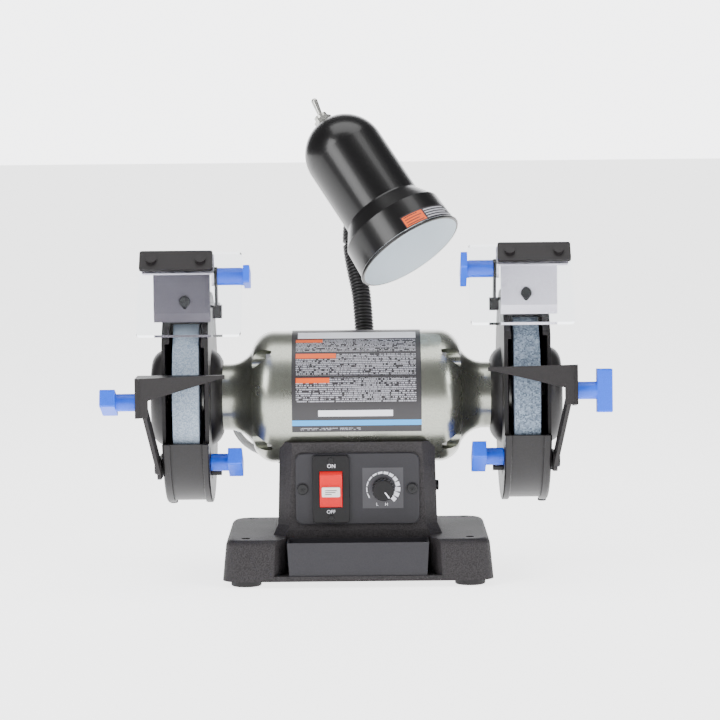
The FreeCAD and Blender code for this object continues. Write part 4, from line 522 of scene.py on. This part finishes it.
# %% An area of the label
def cut_by(piece, at, direction, side):
    """Cuts a piece's mesh by a plane and drops what is on one side of it."""
    only(piece)
    bpy.ops.object.mode_set(mode="EDIT")
    bpy.ops.mesh.select_all(action="SELECT")
    bpy.ops.mesh.bisect(plane_co=at, plane_no=direction, clear_inner=side == "below",
                        clear_outer=side == "above")
    bpy.ops.object.mode_set(mode="OBJECT")


def inked(piece, material, body):
    """Gives an open patch its thickness, its ink and the body it moves with."""
    only(piece)
    coat = piece.modifiers.new("coat", "SOLIDIFY")
    coat.thickness = INK_THICK
    coat.offset = 1.0
    bpy.ops.object.modifier_apply(modifier="coat")
    bpy.ops.object.shade_smooth_by_angle(angle=math.radians(30))
    piece.data.materials.append(material)
    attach(piece, body)


def on_drum(name, material, left, right, low, high, layer):
    """A patch on the motor: X in mm, angles in degrees up from straight ahead."""
    bpy.ops.object.select_all(action="DESELECT")
    bpy.ops.mesh.primitive_cylinder_add(vertices=360, radius=SHELL_R + (0.05 + 0.04 * layer) * MM,
                                        depth=(right - left) * MM, end_fill_type="NOTHING",
                                        location=((left + right) / 2 * MM, 0, SPINDLE.z),
                                        rotation=(0, math.radians(90), 0))
    patch = bpy.context.object
    patch.name = name
    bpy.ops.object.transform_apply(location=True, rotation=True, scale=True)
    for angle, side in ((low, "below"), (high, "above")):
        up = math.radians(angle)
        cut_by(patch, SPINDLE, (0, math.sin(up), math.cos(up)), side)
    inked(patch, material, "root")


# %% The label's areas
# name, ink, left and right in mm, low and high in degrees, layer
label_areas = [
    ("label_ground", charcoal_ink, -50.2, 50.2, -27.25, 90.0, 0),
    ("label_top_strip", white_ink, -45.5, 46.4, 64.5, 77.5, 1),
    ("label_text_top", print_ink, -46.9, 46.1, 46.5, 62.5, 1),
    ("label_text_middle", print_ink, -46.9, 46.1, 23.0, 44.25, 1),
    ("label_text_bottom", print_ink, -46.9, 46.1, -0.5, 20.75, 1),
    ("label_heading_top", orange_ink, -46.9, -26.1, 58.25, 62.5, 2),
    ("label_heading_middle", orange_ink, -46.9, -15.8, 39.25, 44.25, 2),
    ("label_heading_bottom", orange_ink, -46.9, -20.9, 16.25, 20.75, 2),
    ("label_plain_band", white_ink, -29.8, 28.0, -12.6, -7.2, 1),
    ("label_stripe", blue_ink, -50.2, 50.2, -21.0, -16.0, 1),
    ("label_foot_line", print_ink, -44.0, 3.0, -25.2, -23.2, 1),
]
for area in label_areas:
    on_drum(*area)
print(len(label_areas), "areas of the motor's label")

# %% [markdown]
# ## Sticker on the lamp's collar
# A small black sticker with an orange block lies on the collar, on the side that faces the
# user. It is cut from an open cone with the collar's own taper, drawn about +Z with the
# mouth at the origin, and then moved into the shade's frame.

# %% The collar's frame and the sticker
COLLAR_MOUTH_R = 43.6
COLLAR_REAR_R = 42.0
COLLAR_LENGTH = 27.0
mouth = Vector((43.7, 10.0, 253.7)) * MM
back = Vector((-0.51, 0.37, 0.776)).normalized()
across = Vector((-0.587, -0.809, 0.0)).normalized()
upward = back.cross(across)
shade_frame = Matrix.Translation(mouth) @ Matrix((across, upward, back)).transposed().to_4x4()


def on_collar(name, material, front, rear, low, high, layer):
    """A patch on the collar: distances back from the mouth in mm, angles in degrees."""
    bpy.ops.object.select_all(action="DESELECT")
    lift = 0.06 + 0.04 * layer
    bpy.ops.mesh.primitive_cone_add(vertices=240, radius1=(COLLAR_MOUTH_R + lift) * MM,
                                    radius2=(COLLAR_REAR_R + lift) * MM, depth=COLLAR_LENGTH * MM,
                                    end_fill_type="NOTHING",
                                    location=(0, 0, COLLAR_LENGTH / 2 * MM))
    patch = bpy.context.object
    patch.name = name
    bpy.ops.object.transform_apply(location=True, rotation=True, scale=True)
    for distance, side in ((front, "below"), (rear, "above")):
        cut_by(patch, (0, 0, distance * MM), (0, 0, 1), side)
    for angle, side in ((low, "below"), (high, "above")):
        turned = math.radians(angle)
        cut_by(patch, (0, 0, 0), (-math.sin(turned), math.cos(turned), 0), side)
    patch.matrix_world = shade_frame
    only(patch)
    bpy.ops.object.transform_apply(location=True, rotation=True, scale=True)
    inked(patch, material, "lamp_head")


STICKER_ROW_PITCH = 2.3
on_collar("sticker_ground", charcoal_ink, 2.8, 13.5, 40.0, 106.0, 0)
on_collar("sticker_block", orange_ink, 3.4, 12.4, 41.0, 65.5, 1)
for k in range(4):
    back_by = STICKER_ROW_PITCH * k
    row_end, line_end = 104.0 - 6.0 * (k % 2), 63.0 - 4.0 * (k % 2)
    on_collar("sticker_row_%d" % k, grey_ink, 4.0 + back_by, 5.1 + back_by, 67.5, row_end, 1)
    on_collar("sticker_line_%d" % k, charcoal_ink, 4.2 + back_by, 4.9 + back_by, 43.0, line_end, 2)
print("sticker on the collar")

# %% [markdown]
# ## Marks on the controls
# The dial has a printed plate behind it with a scale that grows from a hair line to a broad
# wedge, a letter at each end, and a white line on the knob. The switch has its two words,
# and the key has three lines of print. Flat marks are thin blocks; letters are text turned
# into a mesh before it is stood upright and placed.


# %% A thin block and a printed word
def thin_block(name, material, body, at, size, turned=0.0):
    """A block of size (across, deep, high) in mm, turned about Y by degrees."""
    bpy.ops.object.select_all(action="DESELECT")
    bpy.ops.mesh.primitive_cube_add(size=1, location=Vector(at) * MM, rotation=(0, math.radians(turned), 0),
                                    scale=Vector(size) * MM)
    piece = bpy.context.object
    piece.name = name
    bpy.ops.object.transform_apply(location=True, rotation=True, scale=True)
    piece.data.materials.append(material)
    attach(piece, body)
    return piece


def printed_word(name, words, at, height_mm):
    """Upright letters that face the front, centred on a point."""
    bpy.ops.object.select_all(action="DESELECT")
    bpy.ops.object.text_add(location=(0, 0, 0))
    word = bpy.context.object
    word.name = name
    word.data.body = words
    word.data.size = height_mm * MM * 1.38
    word.data.align_x = "CENTER"
    word.data.align_y = "CENTER"
    word.data.extrude = 0.03 * MM
    bpy.ops.object.convert(target="MESH")
    word = bpy.context.object
    word.location = Vector(at) * MM
    word.rotation_euler = (math.radians(90), 0, 0)
    bpy.ops.object.transform_apply(location=True, rotation=True, scale=True)
    word.data.materials.append(white_ink)
    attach(word, "root")


# %% Dial plate, scale, letters and pointer
PANEL_Y = -48.5
DIAL_X, DIAL_Z = 20.0, 73.0
SCALE_R = 13.2
SCALE_PARTS = 13
SCALE_START = 205.0
SCALE_SWEEP = 250.0
plate_grey = grained("dial_plate_grey", "#3e3d42", "#39383c", 0.45, 0.5, 0.01)
thin_block("dial_plate", plate_grey, "root", (19.7, PANEL_Y - 0.04, 73.4),
           (31.6, 0.08, 31.6))
for k in range(SCALE_PARTS):
    along = k / (SCALE_PARTS - 1)
    angle = SCALE_START - SCALE_SWEEP * along
    deep = 0.8 + 4.6 * along ** 2
    middle_r = SCALE_R - deep / 2
    at = (DIAL_X + middle_r * math.cos(math.radians(angle)), PANEL_Y - 0.12,
          DIAL_Z + middle_r * math.sin(math.radians(angle)))
    wide = math.radians(SCALE_SWEEP / SCALE_PARTS) * middle_r * 0.88
    thin_block("dial_scale_%02d" % k, white_ink, "root", at, (wide, 0.08, deep), 90.0 - angle)
printed_word("dial_low", "L", (15.2, PANEL_Y - 0.12, 60.6), 2.4)
printed_word("dial_high", "H", (22.4, PANEL_Y - 0.12, 60.5), 2.4)
POINTER_ANGLE = -53.0
POINTER_R = 4.75
KNOB_FACE_Y = -62.33
pointer_angle = math.radians(POINTER_ANGLE)
thin_block("knob_pointer", white_ink, "speed_knob",
           (DIAL_X + POINTER_R * math.cos(pointer_angle), KNOB_FACE_Y,
            DIAL_Z + POINTER_R * math.sin(pointer_angle)), (1.0, 0.08, 5.5), 90.0 - POINTER_ANGLE)

# %% Switch words and key lines
BEZEL_Y = -51.5
printed_word("switch_on", "ON", (-20.1, BEZEL_Y - 0.05, 91.0), 3.0)
printed_word("switch_off", "OFF", (-20.6, BEZEL_Y - 0.05, 55.4), 2.8)
ROCKER_LEAN = 8.0
KEY_FACE_Y = -12.33
pivot = joint_at["switch_rock"]
lean = Matrix.Translation(pivot) @ Matrix.Rotation(math.radians(ROCKER_LEAN), 4, "X")
for k, wide in enumerate((9.0, 8.0, 5.0)):
    line = thin_block("key_line_%d" % k, charcoal_ink, "safety_key",
                      (-0.5 * (9.0 - wide), KEY_FACE_Y, 1.5 - 1.5 * k), (wide, 0.08, 0.6))
    line.matrix_world = lean
    only(line)
    bpy.ops.object.transform_apply(location=True, rotation=True, scale=True)
print("marks on the dial, the switch and the key")
